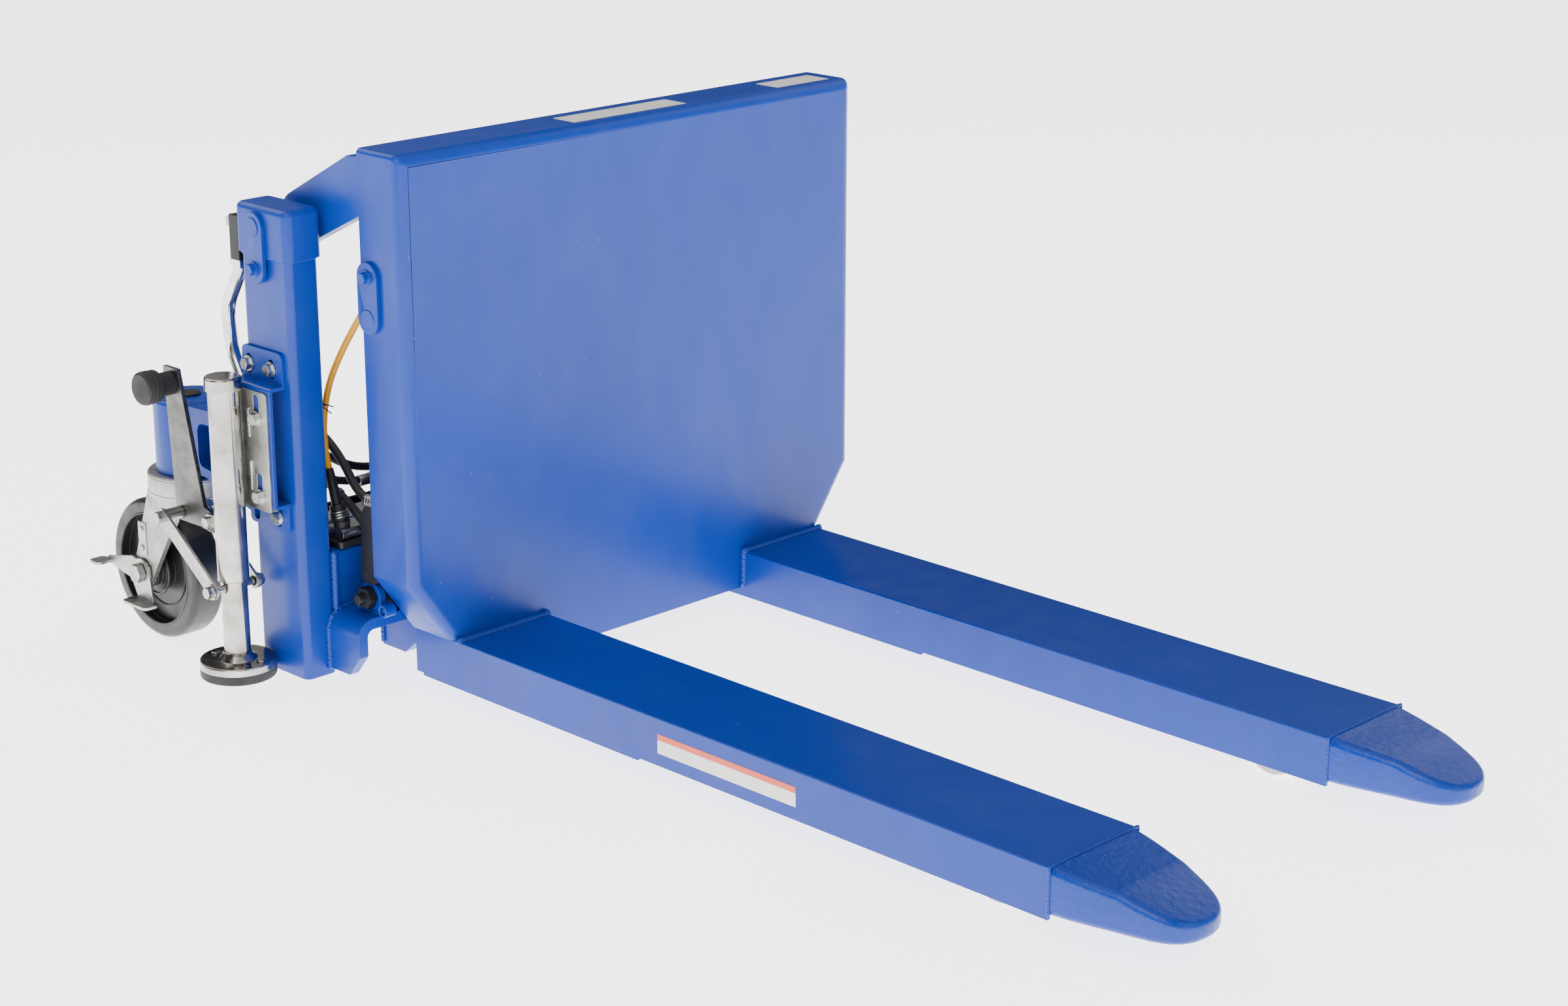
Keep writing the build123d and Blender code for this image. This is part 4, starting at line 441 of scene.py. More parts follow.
# Each finish: its material's name, two colours, its roughness, and what differs from its function's defaults.
ENAMELLED = {
    "black_steel": ("black_enamel", (27, 28, 31), (17, 18, 20), 0.42, {}),
    "teal_spring": ("teal_powder_coat", (40, 128, 140), (26, 98, 110), 0.40, {}),
}
DRAWN_ALONG_Z = {"stretch": (1, 1, 0.2), "scale": 30.0, "depth": 0.004, "spangle": False}
DRAWN_TUBE = {"stretch": (6, 6, 0.25), "scale": 26.0, "depth": 0.006, "spangle": False}
PLATED = {
    "zinc_steel": ("zinc_plate", (176, 178, 174), (142, 144, 141), 0.34, {}),
    "cast_zinc": ("zinc_on_casting", (172, 173, 168), (136, 137, 132), 0.42, {"scale": 40.0, "depth": 0.16}),
    "bright_zinc": ("bright_zinc_bolts", (206, 208, 205), (170, 172, 172), 0.24,
                    {"depth": 0.015, "spangle": False}),
    "bare_steel": ("turned_steel", (168, 168, 165), (132, 132, 129), 0.3,
                   {"stretch": (1, 8, 1), "spangle": False}),
    "chrome": ("bright_chrome", (222, 224, 226), (196, 199, 202), 0.10, DRAWN_ALONG_Z),
    "polished_tube": ("polished_tube", (196, 193, 188), (140, 135, 128), 0.15, DRAWN_TUBE),
    "bronze": ("oiled_bronze", (172, 132, 74), (128, 92, 48), 0.38, {"spangle": False}),
    "cast_valve": ("machined_aluminium", (196, 198, 198), (160, 162, 164), 0.30,
                   {"stretch": (1, 7, 1), "spangle": False}),
    "graphite_steel": ("graphite_steel", (122, 121, 119), (84, 84, 83), 0.36,
                       {"stretch": (1, 1, 7), "spangle": False}),
}
SMOOTH_SHELL = {"grain": 500.0, "depth": 0.005, "wear": 0.0}
MOULDED = {
    "black_rubber": ("black_rubber", (22, 22, 24), (36, 36, 37), 0.62,
                     {"grain": 220.0, "depth": 0.09, "wear": 0.35}),
    "phenolic_wheel": ("phenolic_wheel", (17, 17, 19), (30, 30, 32), 0.36, {"grain": 160.0, "wear": 0.35}),
    "roller_nylon": ("nylon_roller", (224, 219, 205), (196, 190, 174), 0.44, {"grain": 160.0, "wear": 0.1}),
    "black_plastic": ("black_plastic", (23, 24, 26), (34, 35, 38), 0.48, {"grain": 520.0}),
    "yellow_cable": ("yellow_jacket", (247, 181, 24), (236, 160, 14), 0.34,
                     {"grain": 260.0, "depth": 0.02, "wear": 0.0}),
    "hose_rubber": ("hose_cover", (23, 23, 25), (34, 34, 35), 0.46,
                    {"grain": 420.0, "depth": 0.12, "wear": 0.1}),
    "grey_tie": ("grey_nylon_tie", (150, 152, 152), (128, 130, 130), 0.42, {"depth": 0.02, "wear": 0.0}),
    "green_button": ("green_button", (30, 138, 66), (22, 118, 54), 0.30, SMOOTH_SHELL),
    "red_button": ("red_button", (186, 30, 26), (160, 22, 20), 0.30, SMOOTH_SHELL),
    "glass": ("oil_gauge", (196, 158, 70), (176, 136, 54), 0.12,
              {"grain": 500.0, "depth": 0.002, "wear": 0.0}),
}
# Nodes that wear another finish than the one their packed slot names.
OWN_FINISH = {
    "column_caps": "blue_casting",
    "caster_mounts": "blue_casting",
    "fork_tips": "blue_tip",
    "lock_pedal": "graphite_steel",
    "caster_yoke_right": "cast_zinc",
    "caster_yoke_left": "cast_zinc",
    "frame_bolts": "bright_zinc",
}


def make_finishes(look):
    """Every finish on the machine, by name."""
    blue = tuple(look.blue) + (1.0,)
    deep = tuple(c * 0.90 for c in look.blue) + (1.0,)
    rough = look.paint_roughness
    FINISHES["blue_paint"] = enamel("blue_enamel", blue, deep, rough)
    FINISHES["blue_casting"] = enamel("blue_enamel_on_casting", blue, deep, rough + 0.03, 0.06, 0.45)
    FINISHES["blue_tip"] = enamel("blue_enamel_on_sand_casting", blue, deep, rough - 0.04, 0.08, 1.1)
    for make, group in ((enamel, ENAMELLED), (plated, PLATED), (moulded, MOULDED)):
        for finish, (name, colour, shade, roughness, options) in group.items():
            FINISHES[finish] = make(name, linear(*colour), linear(*shade), roughness, **options)
    FINISHES["placard_vinyl"] = placard()


CORDS = ("hose_lift_right", "hose_return_right", "hose_lift_left", "signal_cable")
KEPT_AS_PACKED = CORDS + ("lock_spring",)
FINE_EDGE = ("frame_bolts", "lock_foot", "lock_links", "lock_plate", "arm_bushes", "cable_connector",
             "valve_block", "cylinder_guards", "caster_brake_right", "caster_brake_left", "lock_pedal",
             "lock_cap", "kingpins")


def node_finish(name, packed_slot):
    """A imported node's finish: its own, or else the one that its slot names."""
    return FINISHES[OWN_FINISH.get(name, packed_slot)]


# ------------------------------------------------------------------ sizes a user may change
class LookSettings(bpy.types.PropertyGroup):
    blue: FloatVectorProperty(name="Machine colour", subtype="COLOR", default=linear(6, 54, 158)[:3],
                              min=0.0, max=1.0, description="Enamel of the frame and carriage")
    paint_roughness: FloatProperty(name="Paint roughness", default=0.34, min=0.05, max=0.9,
                                   description="How dull the enamel is")
    edge_round: FloatProperty(name="Edge rounding", default=0.0009, min=0.0, max=0.004, unit="LENGTH",
                              description="Rounding of cut and bent edges")
    fine_edge_round: FloatProperty(name="Fine edge rounding", default=0.0004, min=0.0, max=0.002,
                                   unit="LENGTH", description="Rounding of edges on small parts")
    root_weld_width: FloatProperty(name="Root weld width", default=14.0, min=5.0, max=20.0,
                                   description="Width of the beads at the fork roots in millimetres")
    weld_width: FloatProperty(name="Weld width", default=9.0, min=3.0, max=16.0,
                              description="Width of the larger weld beads in millimetres")


class StageSettings(bpy.types.PropertyGroup):
    lens: FloatProperty(name="Lens", default=68.96, min=20.0, max=200.0, unit="CAMERA",
                        description="Focal length of the camera")
    floor_grey: FloatProperty(name="Floor grey", default=0.86, min=0.0, max=1.0,
                              description="Lightness of the floor")
    floor_glow: FloatProperty(name="Floor glow", default=3.2, min=0.0, max=12.0,
                              description="Light given off by the studio floor")
    key_power: FloatProperty(name="Key light", default=120.0, min=0.0, max=2000.0, unit="POWER",
                             description="Power of the main soft light")


class PieceOperator(bpy.types.Operator):
    """Base of the operators below."""
    bl_options = {"REGISTER", "UNDO"}

    @property
    def look(self):
        return bpy.context.scene.tilter_look


class TILTER_OT_surfaces(PieceOperator):
    """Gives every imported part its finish, with rounded edges on the metal"""
    bl_idname = "tilter.surfaces"
    bl_label = "Packed parts"

    def execute(self, context):
        make_finishes(self.look)
        slots = {s["node"]: s["material_slot"] for s in frame["record"]["subparts"]}
        for name, node in frame["nodes"].items():
            material = node_finish(name, slots[name])
            node.data.materials.clear()
            node.data.materials.append(material)
            if name not in KEPT_AS_PACKED:
                self.round_copy(name, node, material, slots[name])
        return {"FINISHED"}

    def round_copy(self, name, node, material, slot):
        """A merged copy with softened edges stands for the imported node."""
        bm = bmesh.new()
        bm.from_mesh(node.data)
        bmesh.ops.remove_doubles(bm, verts=bm.verts, dist=COPY_MERGE)
        bmesh.ops.dissolve_limit(bm, angle_limit=radians(FLAT_ANGLE), verts=bm.verts, edges=bm.edges)
        mesh = bpy.data.meshes.new(name + "_finished")
        bm.to_mesh(mesh)
        bm.free()
        copy = bpy.data.objects.new(name + "_finished", mesh)
        bpy.context.scene.collection.objects.link(copy)
        mesh.materials.clear()
        mesh.materials.append(material)
        mesh.shade_smooth()
        mesh.set_sharp_from_angle(angle=radians(COPY_SHADE_ANGLE))
        bevel = copy.modifiers.new("Edges", "BEVEL")
        bevel.width = self.look.fine_edge_round if name in FINE_EDGE else self.look.edge_round
        bevel.segments = 2
        bevel.limit_method = "ANGLE"
        bevel.angle_limit = radians(EDGE_ANGLE)
        bevel.harden_normals = True
        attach(copy, body_of(node)[0])
        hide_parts(name)


class TILTER_OT_welds(PieceOperator):
    """Lays the weld beads of the base and of the carriage"""
    bl_idname = "tilter.welds"
    bl_label = "Weld beads"

    def execute(self, context):
        width = self.look.weld_width
        base = bmesh.new()
        carriage = bmesh.new()
        for side, _ in SIDES:
            self.base_welds(base, side, width)
            self.carriage_welds(carriage, side, width)
        finish_piece(base, "base_welds", FINISHES["blue_paint"], "frame", BEAD_SHADE_ANGLE)
        finish_piece(carriage, "carriage_welds", FINISHES["blue_paint"], "carriage",
                     BEAD_SHADE_ANGLE)
        return {"FINISHED"}

    def base_welds(self, bm, side, width):
        """The column's foot and step, the cross members and the caster's bracket on one side."""
        front, rear = COLUMN_FRONT, COLUMN_REAR
        inner, outer = COLUMN_INNER * side, COLUMN_OUTER * side
        add_bead(bm, [place(front, inner - side * 1, 128), place(front, inner - side * 1, 203)], width * 1.15)
        face = front + 1
        add_bead(bm, [place(face, inner + side * 13.5, 48), place(face, inner + side * 13.5, 102),
                      place(face, inner + side * 7, 117), place(face, inner - side * 6, 126)], width)
        add_bead(bm, [place(face, inner - side * 8, 127), place(face, 215 * side, 127)], width * 0.75)
        add_bead(bm, [place(-134, 398.5 * side, 127), place(-90, 398.5 * side, 127)], width * 0.6)
        add_bead(bm, [place(-134, 387.5 * side, 127), place(-134, 399 * side, 127)], width * 0.6)
        add_bead(bm, [place(-134, 342 * side, 127), place(-90, 342 * side, 127)], width * 0.6)
        add_bead(bm, [place(rear + 3, inner - side * 1, 118), place(rear + 3, inner - side * 1, 200)], width)
        step, fine = COLUMN_STEP, width * 0.62
        for x in (front + 0.5, rear - 0.5):
            add_bead(bm, [place(x, inner + side * 9, step), place(x, outer - side * 9, step)], fine)
        flank = outer + side * 0.5
        add_bead(bm, [place(rear + 9, flank, step), place(front - 9, flank, step)], fine)
        for y in (402 * side, 470 * side):
            add_bead(bm, [place(rear - 1, y, 246), place(rear - 1, y, 370)], width * 0.9)
        add_bead(bm, [place(-176, 330 * side, 52), place(-176, 330 * side, 108)], width * 0.7)

    def carriage_welds(self, bm, side, width):
        """The fork's root and tip, the tilt arm and the backrest's ribs on one side."""
        outer, inner = FORK_OUTER * side, FORK_INNER * side
        root = self.look.root_weld_width
        near, far, skirt = inner + side * 3, outer - side * 1, inner + side * 1
        add_bead(bm, [place(3.5, near, 98.2), place(3.5, far, 98.2)], root, 4.4, 0.30)
        add_bead(bm, [place(3.0, skirt, 99), place(3.0, skirt, 48)], root * 0.82, 4.0, 0.5)
        ends = (place(3.5, near, 99), place(3.5, outer - side * 2, 99), place(3, skirt, 49))
        for spot in ends:
            add_bead(bm, [spot, spot + Vector((mm(2), 0, 0))], root * 0.9, 2.0, 0.42)
        tip = TIP_WELD
        add_bead(bm, [place(tip, inner + side * 2, 98), place(tip, outer - side * 2, 98)], width * 0.5, 2.6)
        for y in (outer, inner):
            add_bead(bm, [place(tip, y, 97), place(tip, y, 41)], width * 0.5, 2.6)
        add_bead(bm, [place(-86, 393 * side, 672), place(-86, 393 * side, 742)], width * 0.8)
        add_bead(bm, [place(-18, 392.8 * side, 578), place(-18, 392.8 * side, 738)], width * 0.7)
        add_bead(bm, [place(-82, 392.8 * side, 575), place(-20, 392.8 * side, 575)], width * 0.7)
        for z in RIB_WELD_HEIGHTS:
            for start in range(0, 310, 78):
                run = [place(-6, side * (start + 8), z), place(-6, side * (start + 46), z)]
                add_bead(bm, run, width * 0.55)


class TILTER_OT_cylinder_fittings(PieceOperator):
    """Hose ends, gland rings and rod collars of the two lift cylinders"""
    bl_idname = "tilter.cylinder_fittings"
    bl_label = "Cylinder fittings"

    def execute(self, context):
        foot = place(CYLINDER_FOOT[0], 0, CYLINDER_FOOT[1])
        head = place(CYLINDER_HEAD[0], 0, CYLINDER_HEAD[1])
        axis = (head - foot).normalized()
        for side, name in SIDES:
            across = Vector((0, mm(CYLINDER_OUT) * side, 0))
            bright = bmesh.new()
            root = foot + across
            for distance in (322, 331, 340):
                add_ring(bright, 21.8, 1.3, root + axis * mm(distance), axis)
            add_ring(bright, 19.0, 2.2, root + axis * mm(352), axis)
            lift = Vector((cos(radians(LIFT_PORT_LEAN)), 0, -sin(radians(LIFT_PORT_LEAN))))
            back = Vector((1, 0, 0))
            ports = [(root + axis * mm(44), lift, 38.0)]
            if side == RIGHT:
                ports.append((root + axis * mm(120), back, 31.0))
            for centre, inward, reach in ports:
                end = centre - inward * mm(reach)
                add_hexagon(bright, 17, end + inward * mm(0.5), end + inward * mm(9.5))
                add_drum(bright, 8.4, end - inward * mm(20), end - inward * mm(0.5), 32, 0.9)
                for step in (4, 9, 14):
                    add_ring(bright, 8.3, 0.8, end - inward * mm(step), inward, 32, 8)
            finish_piece(bright, f"cylinder_{name}_fittings", FINISHES["zinc_steel"], f"barrel_{name}")
            rod = bmesh.new()
            add_drum(rod, 12.4, root + axis * mm(366), root + axis * mm(377), 40, 1.0)
            add_ring(rod, 12.4, 1.6, root + axis * mm(374), axis)
            finish_piece(rod, f"rod_{name}_collar", FINISHES["black_steel"], f"rod_{name}")
        return {"FINISHED"}


class TILTER_OT_hoses(PieceOperator):
    """The hydraulic hoses and the signal cable, each one smooth line between its two housings"""
    bl_idname = "tilter.hoses"
    bl_label = "Hoses and cable"

    def execute(self, context):
        out = CYLINDER_OUT
        lift_end = (-133.71, 216.66)
        lift_in = (0.7547, -0.6561)
        return_end = (-127.54, 267.25)
        entry, inward = (-128, 545), (0.6331, 0.7741)
        entry_back = (entry[0] - inward[0] * 52, entry[1] - inward[1] * 52)
        routes = {
            "hose_lift_right": ([(-436, -137, 186), (-436, -185, 186), (-428, -262, 222), (-388, -330, 262),
                                 (-322, -366, 284), (-250, -367, 278),
                                 (lift_end[0] - lift_in[0] * 48, -out, lift_end[1] - lift_in[1] * 48),
                                 (lift_end[0], -out, lift_end[1])],
                                HOSE_RADIUS, "hose_rubber", "barrel_right"),
            "hose_return_right": ([(-400, -137, 215), (-400, -180, 215), (-390, -246, 246), (-362, -306, 294),
                                   (-316, -346, 333), (-258, -361, 341), (-206, -364, 312),
                                   (return_end[0] - 34, -out, return_end[1]),
                                   (return_end[0], -out, return_end[1])],
                                  HOSE_RADIUS, "hose_rubber", "barrel_right"),
            "hose_lift_left": ([(-279, -60, 222), (-246, -60, 222), (-226, -16, 221), (-224, 60, 220),
                                (-226, 140, 220), (-222, 220, 222), (-214, 290, 232), (-196, 345, 246),
                                (lift_end[0] - lift_in[0] * 30, out, lift_end[1] - lift_in[1] * 30),
                                (lift_end[0], out, lift_end[1])],
                               HOSE_RADIUS, "hose_rubber", "barrel_left"),
            "signal_cable": ([(-199, -391, 305), (-206.3, -391, 329), (-208, -390, 372), (-199, -386, 420),
                              (-182, -377, 463), (entry_back[0], -366, entry_back[1]),
                              (entry[0], -366, entry[1])], CABLE_RADIUS, "yellow_cable", "barrel_right"),
        }
        for name, (points, radius, slot, far_body) in routes.items():
            self.lay(name, [place(*p) for p in points], radius, slot, far_body)
        return {"FINISHED"}

    def spline(self, name, points, radius, sides):
        """One smooth curve through a cord's control points, round where it has a radius."""
        curve = bpy.data.curves.new(name, "CURVE")
        curve.dimensions = "3D"
        curve.bevel_depth = mm(radius)
        curve.bevel_resolution = sides
        curve.use_fill_caps = radius > 0
        line = curve.splines.new("NURBS")
        line.points.add(len(points) - 1)
        for point, spot in zip(line.points, points):
            point.co = (*spot, 1.0)
        line.order_u = 3
        line.use_endpoint_u = True
        line.resolution_u = 16
        return bpy.data.objects.new(name, curve)

    def lay(self, name, points, radius, slot, far_body):
        """A cord from the frame to a body that swings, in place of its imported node."""
        bare = self.spline(name + "_line", points, 0.0, 0)
        line = bpy.data.meshes.new_from_object(bare)
        round_cord = self.spline(name + "_round", points, radius, 6)
        mesh = bpy.data.meshes.new_from_object(round_cord)
        cord = bpy.data.objects.new(name + "_cord", mesh)
        bpy.context.scene.collection.objects.link(cord)
        mesh.materials.clear()
        mesh.materials.append(FINISHES[slot])
        mesh.shade_smooth()
        start = points[len(points) // 2]
        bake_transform(cord, "frame", far_body, start=tuple(start), end=tuple(points[-2]))
        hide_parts(name)


class TILTER_OT_hose_ties(PieceOperator):
    """The cable ties, the tank's hose ends and the coupling rings of the plug"""
    bl_idname = "tilter.hose_ties"
    bl_label = "Ties and hose ends"

    def execute(self, context):
        tie = bmesh.new()
        along = Vector((0.94, -0.03, -0.35))
        add_ring(tie, 6.4, 1.5, place(-212, -368.4, 263.6), along, 32, 8)
        add_ring(tie, 6.4, 1.5, place(-208, -368.5, 262.2), along, 32, 8)
        add_box(tie, -214, -206, -378, -373, 263, 269, 0.8)
        finish_piece(tie, "hose_tie", FINISHES["grey_tie"], "frame")
        tails = bmesh.new()
        add_drum(tails, 0.9, place(-207, -393, 391), place(-176, -400, 388), 8)
        add_drum(tails, 0.9, place(-207, -393, 395), place(-174, -398, 397), 8)
        add_ring(tails, 5.2, 1.2, place(-206, -388.6, 393), Vector((0.1, 0, 1)), 28, 8)
        finish_piece(tails, "cable_tie", FINISHES["black_plastic"], "frame")
        ends = bmesh.new()
        face = TANK_PORT_FACE
        for x, z in TANK_PORTS:
            add_hexagon(ends, 19, place(x, face, z), place(x, face - 7, z))
            add_drum(ends, 8.3, place(x, face - 7, z), place(x, face - 29, z), 32, 0.8)
        add_hexagon(ends, 19, place(-279, *FRONT_PORT), place(-272, *FRONT_PORT))
        add_drum(ends, 8.3, place(-272, *FRONT_PORT), place(-256, *FRONT_PORT), 32, 0.8)
        foot, top = place(*PLUG_FOOT), place(*PLUG_TOP)
        axis = (top - foot).normalized()
        for distance in (13, 16.5, 20):
            add_ring(ends, 12.4, 1.2, foot + axis * mm(distance), axis, 36, 8)
        finish_piece(ends, "hose_end_fittings", FINISHES["zinc_steel"], "frame")
        return {"FINISHED"}


class TILTER_OT_caster_details(PieceOperator):
    """Brake straps, race seams, grease fittings, hub rings and tread seams of the casters"""
    bl_idname = "tilter.caster_details"
    bl_label = "Caster details"

    def execute(self, context):
        upright, across = Vector((0, 0, 1)), Vector((0, 1, 0))
        for side, name in SIDES:
            centre = CASTER_OUT * side
            self.strap(name, centre)
            race = bmesh.new()
            for z, radius in ((231, 63.6), (236, 64.2), (258, 64.2)):
                add_ring(race, radius - 0.6, 1.1, place(KINGPIN, centre, z), upright, 64, 8)
            add_drum(race, 3.0, place(KINGPIN - 62, centre, 247), place(KINGPIN - 70, centre, 247), 16, 0.6)
            add_ring(race, 3.2, 0.8, place(KINGPIN - 69, centre, 247), Vector((1, 0, 0)), 16, 6)
            finish_piece(race, f"race_seams_{name}", FINISHES["cast_zinc"], f"yoke_{name}")
            wheel = bmesh.new()
            for face in (-1, 1):
                add_ring(wheel, 80.5, 1.6, place(AXLE, centre + face * 24.6, AXLE_HEIGHT), across, 72, 8)
                add_ring(wheel, 36.0, 2.0, place(AXLE, centre + face * 24.2, AXLE_HEIGHT), across, 56, 8)
                add_ring(wheel, 56.0, 1.2, place(AXLE, centre + face * 10.9, AXLE_HEIGHT), across, 56, 8)
            add_ring(wheel, 101.1, 0.4, place(AXLE, centre, AXLE_HEIGHT), across, 96, 6)
            finish_piece(wheel, f"wheel_{name}_rings", FINISHES["phenolic_wheel"], f"wheel_{name}")
            sleeve = bmesh.new()
            for face in (-1, 1):
                inside = centre + face * 25.6
                add_ring(sleeve, 19.0, 2.4, place(AXLE, inside + face * 6.4, AXLE_HEIGHT), across, 40, 8)
            finish_piece(sleeve, f"wheel_{name}_seals", FINISHES["zinc_steel"], f"wheel_{name}")
        return {"FINISHED"}

    def strap(self, name, centre):
        """A strap with two rivets on the outside of each fork plate, over the axle."""
        bm = bmesh.new()
        for face in (-1, 1):
            y = centre + face * 42.7
            add_box(bm, -532, -514, y - 1.0, y + 1.0, 128, 176, 0.5)
            for z in (166, 138):
                add_drum(bm, 4.5, place(-523, y - face * 0.5, z), place(-523, y + face * 3.5, z), 20, 0.7)
        finish_piece(bm, f"brake_straps_{name}", FINISHES["zinc_steel"], f"yoke_{name}")


class TILTER_OT_lock_details(PieceOperator):
    """Pad rings, tube welds and foot rings of the floor lock"""
    bl_idname = "tilter.lock_details"
    bl_label = "Floor lock details"

    def execute(self, context):
        pad = bmesh.new()
        axis = Vector((0, 1, 0))
        upright = Vector((0, 0, 1))
        pad_x, pad_z = PEDAL_PAD
        for radius in (19.0, 14.0, 9.0, 4.5):
            add_ring(pad, radius, 1.1, place(pad_x, -577.7, pad_z), axis, 48, 8)
        for y in (-566, -572):
            add_ring(pad, 22.2, 0.9, place(pad_x, y, pad_z), axis, 48, 8)
        finish_piece(pad, "pedal_pad_rings", FINISHES["black_rubber"], "pedal")
        tube = bmesh.new()
        for low in (300, 372):
            add_bead(tube, [place(-213.6, -505, low), place(-213.6, -505, low + 36)], 4.5, 2.4)
        add_ring(tube, 20.9, 0.7, place(*LOCK_TUBE, 174.6), upright, 48, 8)
        finish_piece(tube, "lock_tube_seams", FINISHES["polished_tube"], "frame")
        foot = bmesh.new()
        add_ring(foot, 18.2, 1.6, place(*LOCK_TUBE, 72), upright, 48, 8)
        add_ring(foot, 49.6, 0.9, place(*LOCK_TUBE, 62.4), upright, 64, 8)
        finish_piece(foot, "lock_foot_rings", FINISHES["polished_tube"], "foot")
        return {"FINISHED"}


class TILTER_OT_power_details(PieceOperator):
    """Lid, ribs, caps, gauge and switches of the power unit"""
    bl_idname = "tilter.power_details"
    bl_label = "Power unit details"

    def execute(self, context):
        self.battery()
        self.motor()
        self.tank()
        self.controls()
        return {"FINISHED"}

    def battery(self):
        """The battery box's lid, with its two pads, and the ribs of its rear."""
        bm = bmesh.new()
        add_box(bm, -467, -283, 43, 234, 284, 292, 1.5)
        for y in range(66, 216, 12):
            add_box(bm, -467.5, -465, y, y + 5, 150, 240, 0.8)
        for low, high in ((41, 76), (201, 236)):
            add_box(bm, -420, -330, low, high, 292, 296, 1.0)
        finish_piece(bm, "battery_lid", FINISHES["black_plastic"], "frame")

    def motor(self):
        """The pump motor's bands, ribs and end cap, its two studs and its four bolts."""
        bm = bmesh.new()
        centre_x, centre_y = MOTOR
        for z in (272, 282, 358, 368):
            add_ring(bm, 46.0, 1.4, place(centre_x, centre_y, z), Vector((0, 0, 1)), 64, 8)
        for index in range(16):
            angle = index * pi / 8
            x, y = centre_x + 47.0 * cos(angle), centre_y + 47.0 * sin(angle)
            add_drum(bm, 1.6, place(x, y, 288), place(x, y, 352), 8)
        add_drum(bm, 16, place(*MOTOR, 391), place(*MOTOR, 397), 40, 1.5)
        finish_piece(bm, "motor_ribs", FINISHES["black_steel"], "frame")
        posts = bmesh.new()
        for x, y in ((centre_x - 22, centre_y + 22), (centre_x + 22, centre_y + 22)):
            add_drum(posts, 4, place(x, y, 391), place(x, y, 406), 20, 0.6)
            add_hexagon(posts, 12, place(x, y, 392), place(x, y, 398))
        for y in (centre_y - 40, centre_y + 40):
            for x in (centre_x - 44, centre_x + 44):
                add_hexagon(posts, 11, place(x, y, 262), place(x, y, 268))
        finish_piece(posts, "motor_studs", FINISHES["bright_zinc"], "frame")

    def tank(self):
        """The tank's ribbed filler cap and its oil gauge."""
        bm = bmesh.new()
        add_drum(bm, 18, place(*TANK_CAP, 258), place(*TANK_CAP, 268), 24, 1.6)
        for index in range(12):
            angle = index * pi / 6
            x, y = TANK_CAP[0] + 17.6 * cos(angle), TANK_CAP[1] + 17.6 * sin(angle)
            add_drum(bm, 1.5, place(x, y, 259), place(x, y, 267), 8)
        add_box(bm, -467.5, -465, -76, -56, 140, 226, 1.0)
        finish_piece(bm, "tank_cap_and_gauge_frame", FINISHES["black_plastic"], "frame")
        glass = bmesh.new()
        add_box(glass, -468.5, -467, -72, -60, 150, 216, 0.6)
        finish_piece(glass, "tank_gauge", FINISHES["glass"], "frame")

    def controls(self):
        """The control box's bezels, its raise, lower and stop buttons and its key switch."""
        rear, high = BEZEL_REAR, BUTTON_HEIGHT
        bezels = ((92, high, 10), (118, high, 10), (144, high, 10), (184, STOP_HEIGHT, 13))
        buttons = (("raise", 92, high, 7.5, "green_button"), ("lower", 118, high, 7.5, "black_rubber"),
                   ("stop", 184, STOP_HEIGHT, 11.5, "red_button"))
        bm = bmesh.new()
        for y, z, radius in bezels:
            add_drum(bm, radius, place(CONTROL_BOX_REAR, y, z), place(rear, y, z), 32, 0.8)
        finish_piece(bm, "control_bezels", FINISHES["bright_zinc"], "frame")
        for name, y, z, radius, colour in buttons:
            button = bmesh.new()
            add_drum(button, radius, place(rear, y, z), place(rear - 7, y, z), 32, 1.6)
            finish_piece(button, f"{name}_button", FINISHES[colour], "frame")
        key = bmesh.new()
        add_drum(key, 6.5, place(rear, 144, high), place(rear - 5, 144, high), 28, 0.8)
        add_box(key, -470, -463, 143, 145, 323, 337, 0.4)
        finish_piece(key, "key_switch", FINISHES["bright_zinc"], "frame")


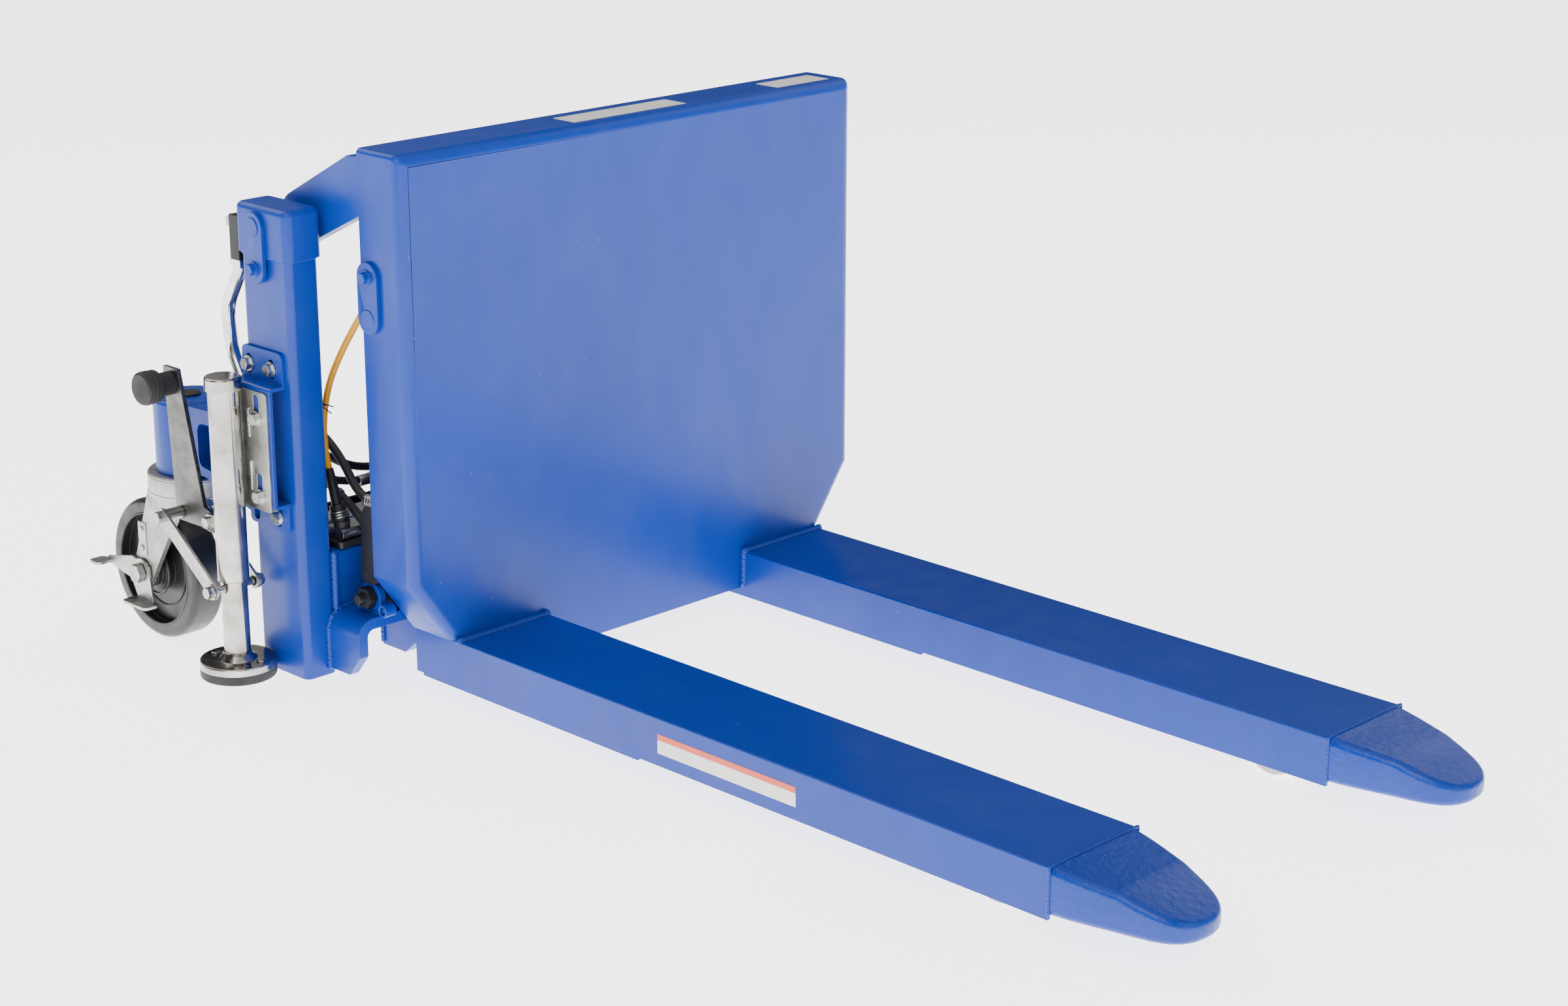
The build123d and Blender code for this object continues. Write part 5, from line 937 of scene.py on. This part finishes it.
class TILTER_OT_stage(bpy.types.Operator):
    """Floor, soft lights and camera"""
    bl_idname = "tilter.stage"
    bl_label = "Stage"
    bl_options = {"REGISTER", "UNDO"}

    def execute(self, context):
        settings = bpy.context.scene.tilter_stage
        self.floor(settings)
        self.lights(settings)
        self.camera(settings)
        return {"FINISHED"}

    def floor(self, settings):
        """A pale floor that gives off a little light of its own."""
        bm = bmesh.new()
        bmesh.ops.create_grid(bm, x_segments=1, y_segments=1, size=FLOOR_HALF)
        grey = settings.floor_grey
        finish = Finish("floor", 0.55)
        tone = finish.mix(finish.spread(finish.pattern(1.3, 4.0), 0.3, 0.7), (grey, grey, grey, 1),
                          (grey * 0.985, grey * 0.985, grey * 0.985, 1))
        finish.bump(finish.pattern(120.0, 3.0), 0.02)
        finish.shader.inputs["Emission Color"].default_value = (1, 1, 1, 1)
        finish.shader.inputs["Emission Strength"].default_value = settings.floor_glow
        floor = finish_piece(bm, "floor", finish.done(tone), None)

    def lights(self, settings):
        """A sky of slow light and dark zones, and five soft panels."""
        world = bpy.data.worlds.new("studio")
        bpy.context.scene.world = world
        world.use_nodes = True
        background = world.node_tree.nodes["Background"]
        nodes, links = world.node_tree.nodes, world.node_tree.links
        direction = nodes.new("ShaderNodeTexCoord")
        zones = nodes.new("ShaderNodeTexNoise")
        zones.inputs["Scale"].default_value = 1.7
        zones.inputs["Detail"].default_value = 0.0
        ramp = nodes.new("ShaderNodeValToRGB")
        ramp.color_ramp.elements[0].position = 0.44
        ramp.color_ramp.elements[0].color = (0.10, 0.105, 0.12, 1)
        ramp.color_ramp.elements[1].position = 0.56
        ramp.color_ramp.elements[1].color = (1.0, 1.0, 1.0, 1)
        links.new(direction.outputs["Generated"], zones.inputs["Vector"])
        links.new(zones.outputs[0], ramp.inputs["Fac"])
        links.new(ramp.outputs["Color"], background.inputs["Color"])
        background.inputs["Strength"].default_value = 0.42
        target = Vector(LAMP_TARGET)
        for name, spot, size, share in LAMPS:
            lamp = bpy.data.lights.new(name, "AREA")
            lamp.energy = settings.key_power * share
            lamp.size = size
            lamp.color = LAMP_COLOUR
            holder = bpy.data.objects.new(name, lamp)
            holder.location = spot
            holder.rotation_euler = (target - Vector(spot)).to_track_quat("-Z", "Y").to_euler()
            bpy.context.scene.collection.objects.link(holder)

    def camera(self, settings):
        """The camera, ahead of the machine on its right, looking a little down."""
        turn, down, roll = radians(CAMERA_TURN), radians(CAMERA_DOWN), radians(CAMERA_ROLL)
        right = Vector((cos(turn), sin(turn), 0))
        ahead = Vector((-sin(turn) * cos(down), cos(turn) * cos(down), -sin(down)))
        up = right.cross(ahead)
        basis = Matrix((right, up, -ahead)).transposed().to_4x4()
        lens = bpy.data.cameras.new("camera")
        lens.lens = settings.lens
        lens.sensor_width = 36.0
        lens.clip_end = 100.0
        lens.shift_x, lens.shift_y = CAMERA_SHIFT
        holder = bpy.data.objects.new("camera", lens)
        spot = Matrix.Translation(place(*CAMERA_PLACE))
        holder.matrix_world = spot @ basis @ Matrix.Rotation(roll, 4, "Z")
        bpy.context.scene.collection.objects.link(holder)
        bpy.context.scene.camera = holder


STEPS = (
    TILTER_OT_surfaces,
    TILTER_OT_welds,
    TILTER_OT_cylinder_fittings,
    TILTER_OT_hoses,
    TILTER_OT_hose_ties,
    TILTER_OT_caster_details,
    TILTER_OT_lock_details,
    TILTER_OT_power_details,
    TILTER_OT_stage,
)


class TILTER_PT_panel(bpy.types.Panel):
    """Sizes and steps in the 3D view's sidebar"""
    bl_idname = "TILTER_PT_panel"
    bl_label = "Pallet tilter"
    bl_space_type = "VIEW_3D"
    bl_region_type = "UI"
    bl_category = "Pallet tilter"

    def draw(self, context):
        layout = self.layout
        for settings in (context.scene.tilter_look, context.scene.tilter_stage):
            box = layout.box()
            for name in settings.__annotations__:
                box.prop(settings, name)
        for step in STEPS:
            layout.operator(step.bl_idname)


CLASSES = (LookSettings, StageSettings) + STEPS + (TILTER_PT_panel,)


def register():
    for item in CLASSES:
        bpy.utils.register_class(item)
    bpy.types.Scene.tilter_look = PointerProperty(type=LookSettings)
    bpy.types.Scene.tilter_stage = PointerProperty(type=StageSettings)


def unregister():
    del bpy.types.Scene.tilter_stage
    del bpy.types.Scene.tilter_look
    for item in reversed(CLASSES):
        bpy.utils.unregister_class(item)


def main():
    register()
    for step in STEPS:
        area, name = step.bl_idname.split(".")
        getattr(getattr(bpy.ops, area), name)()


if __name__ == "__main__":
    main()
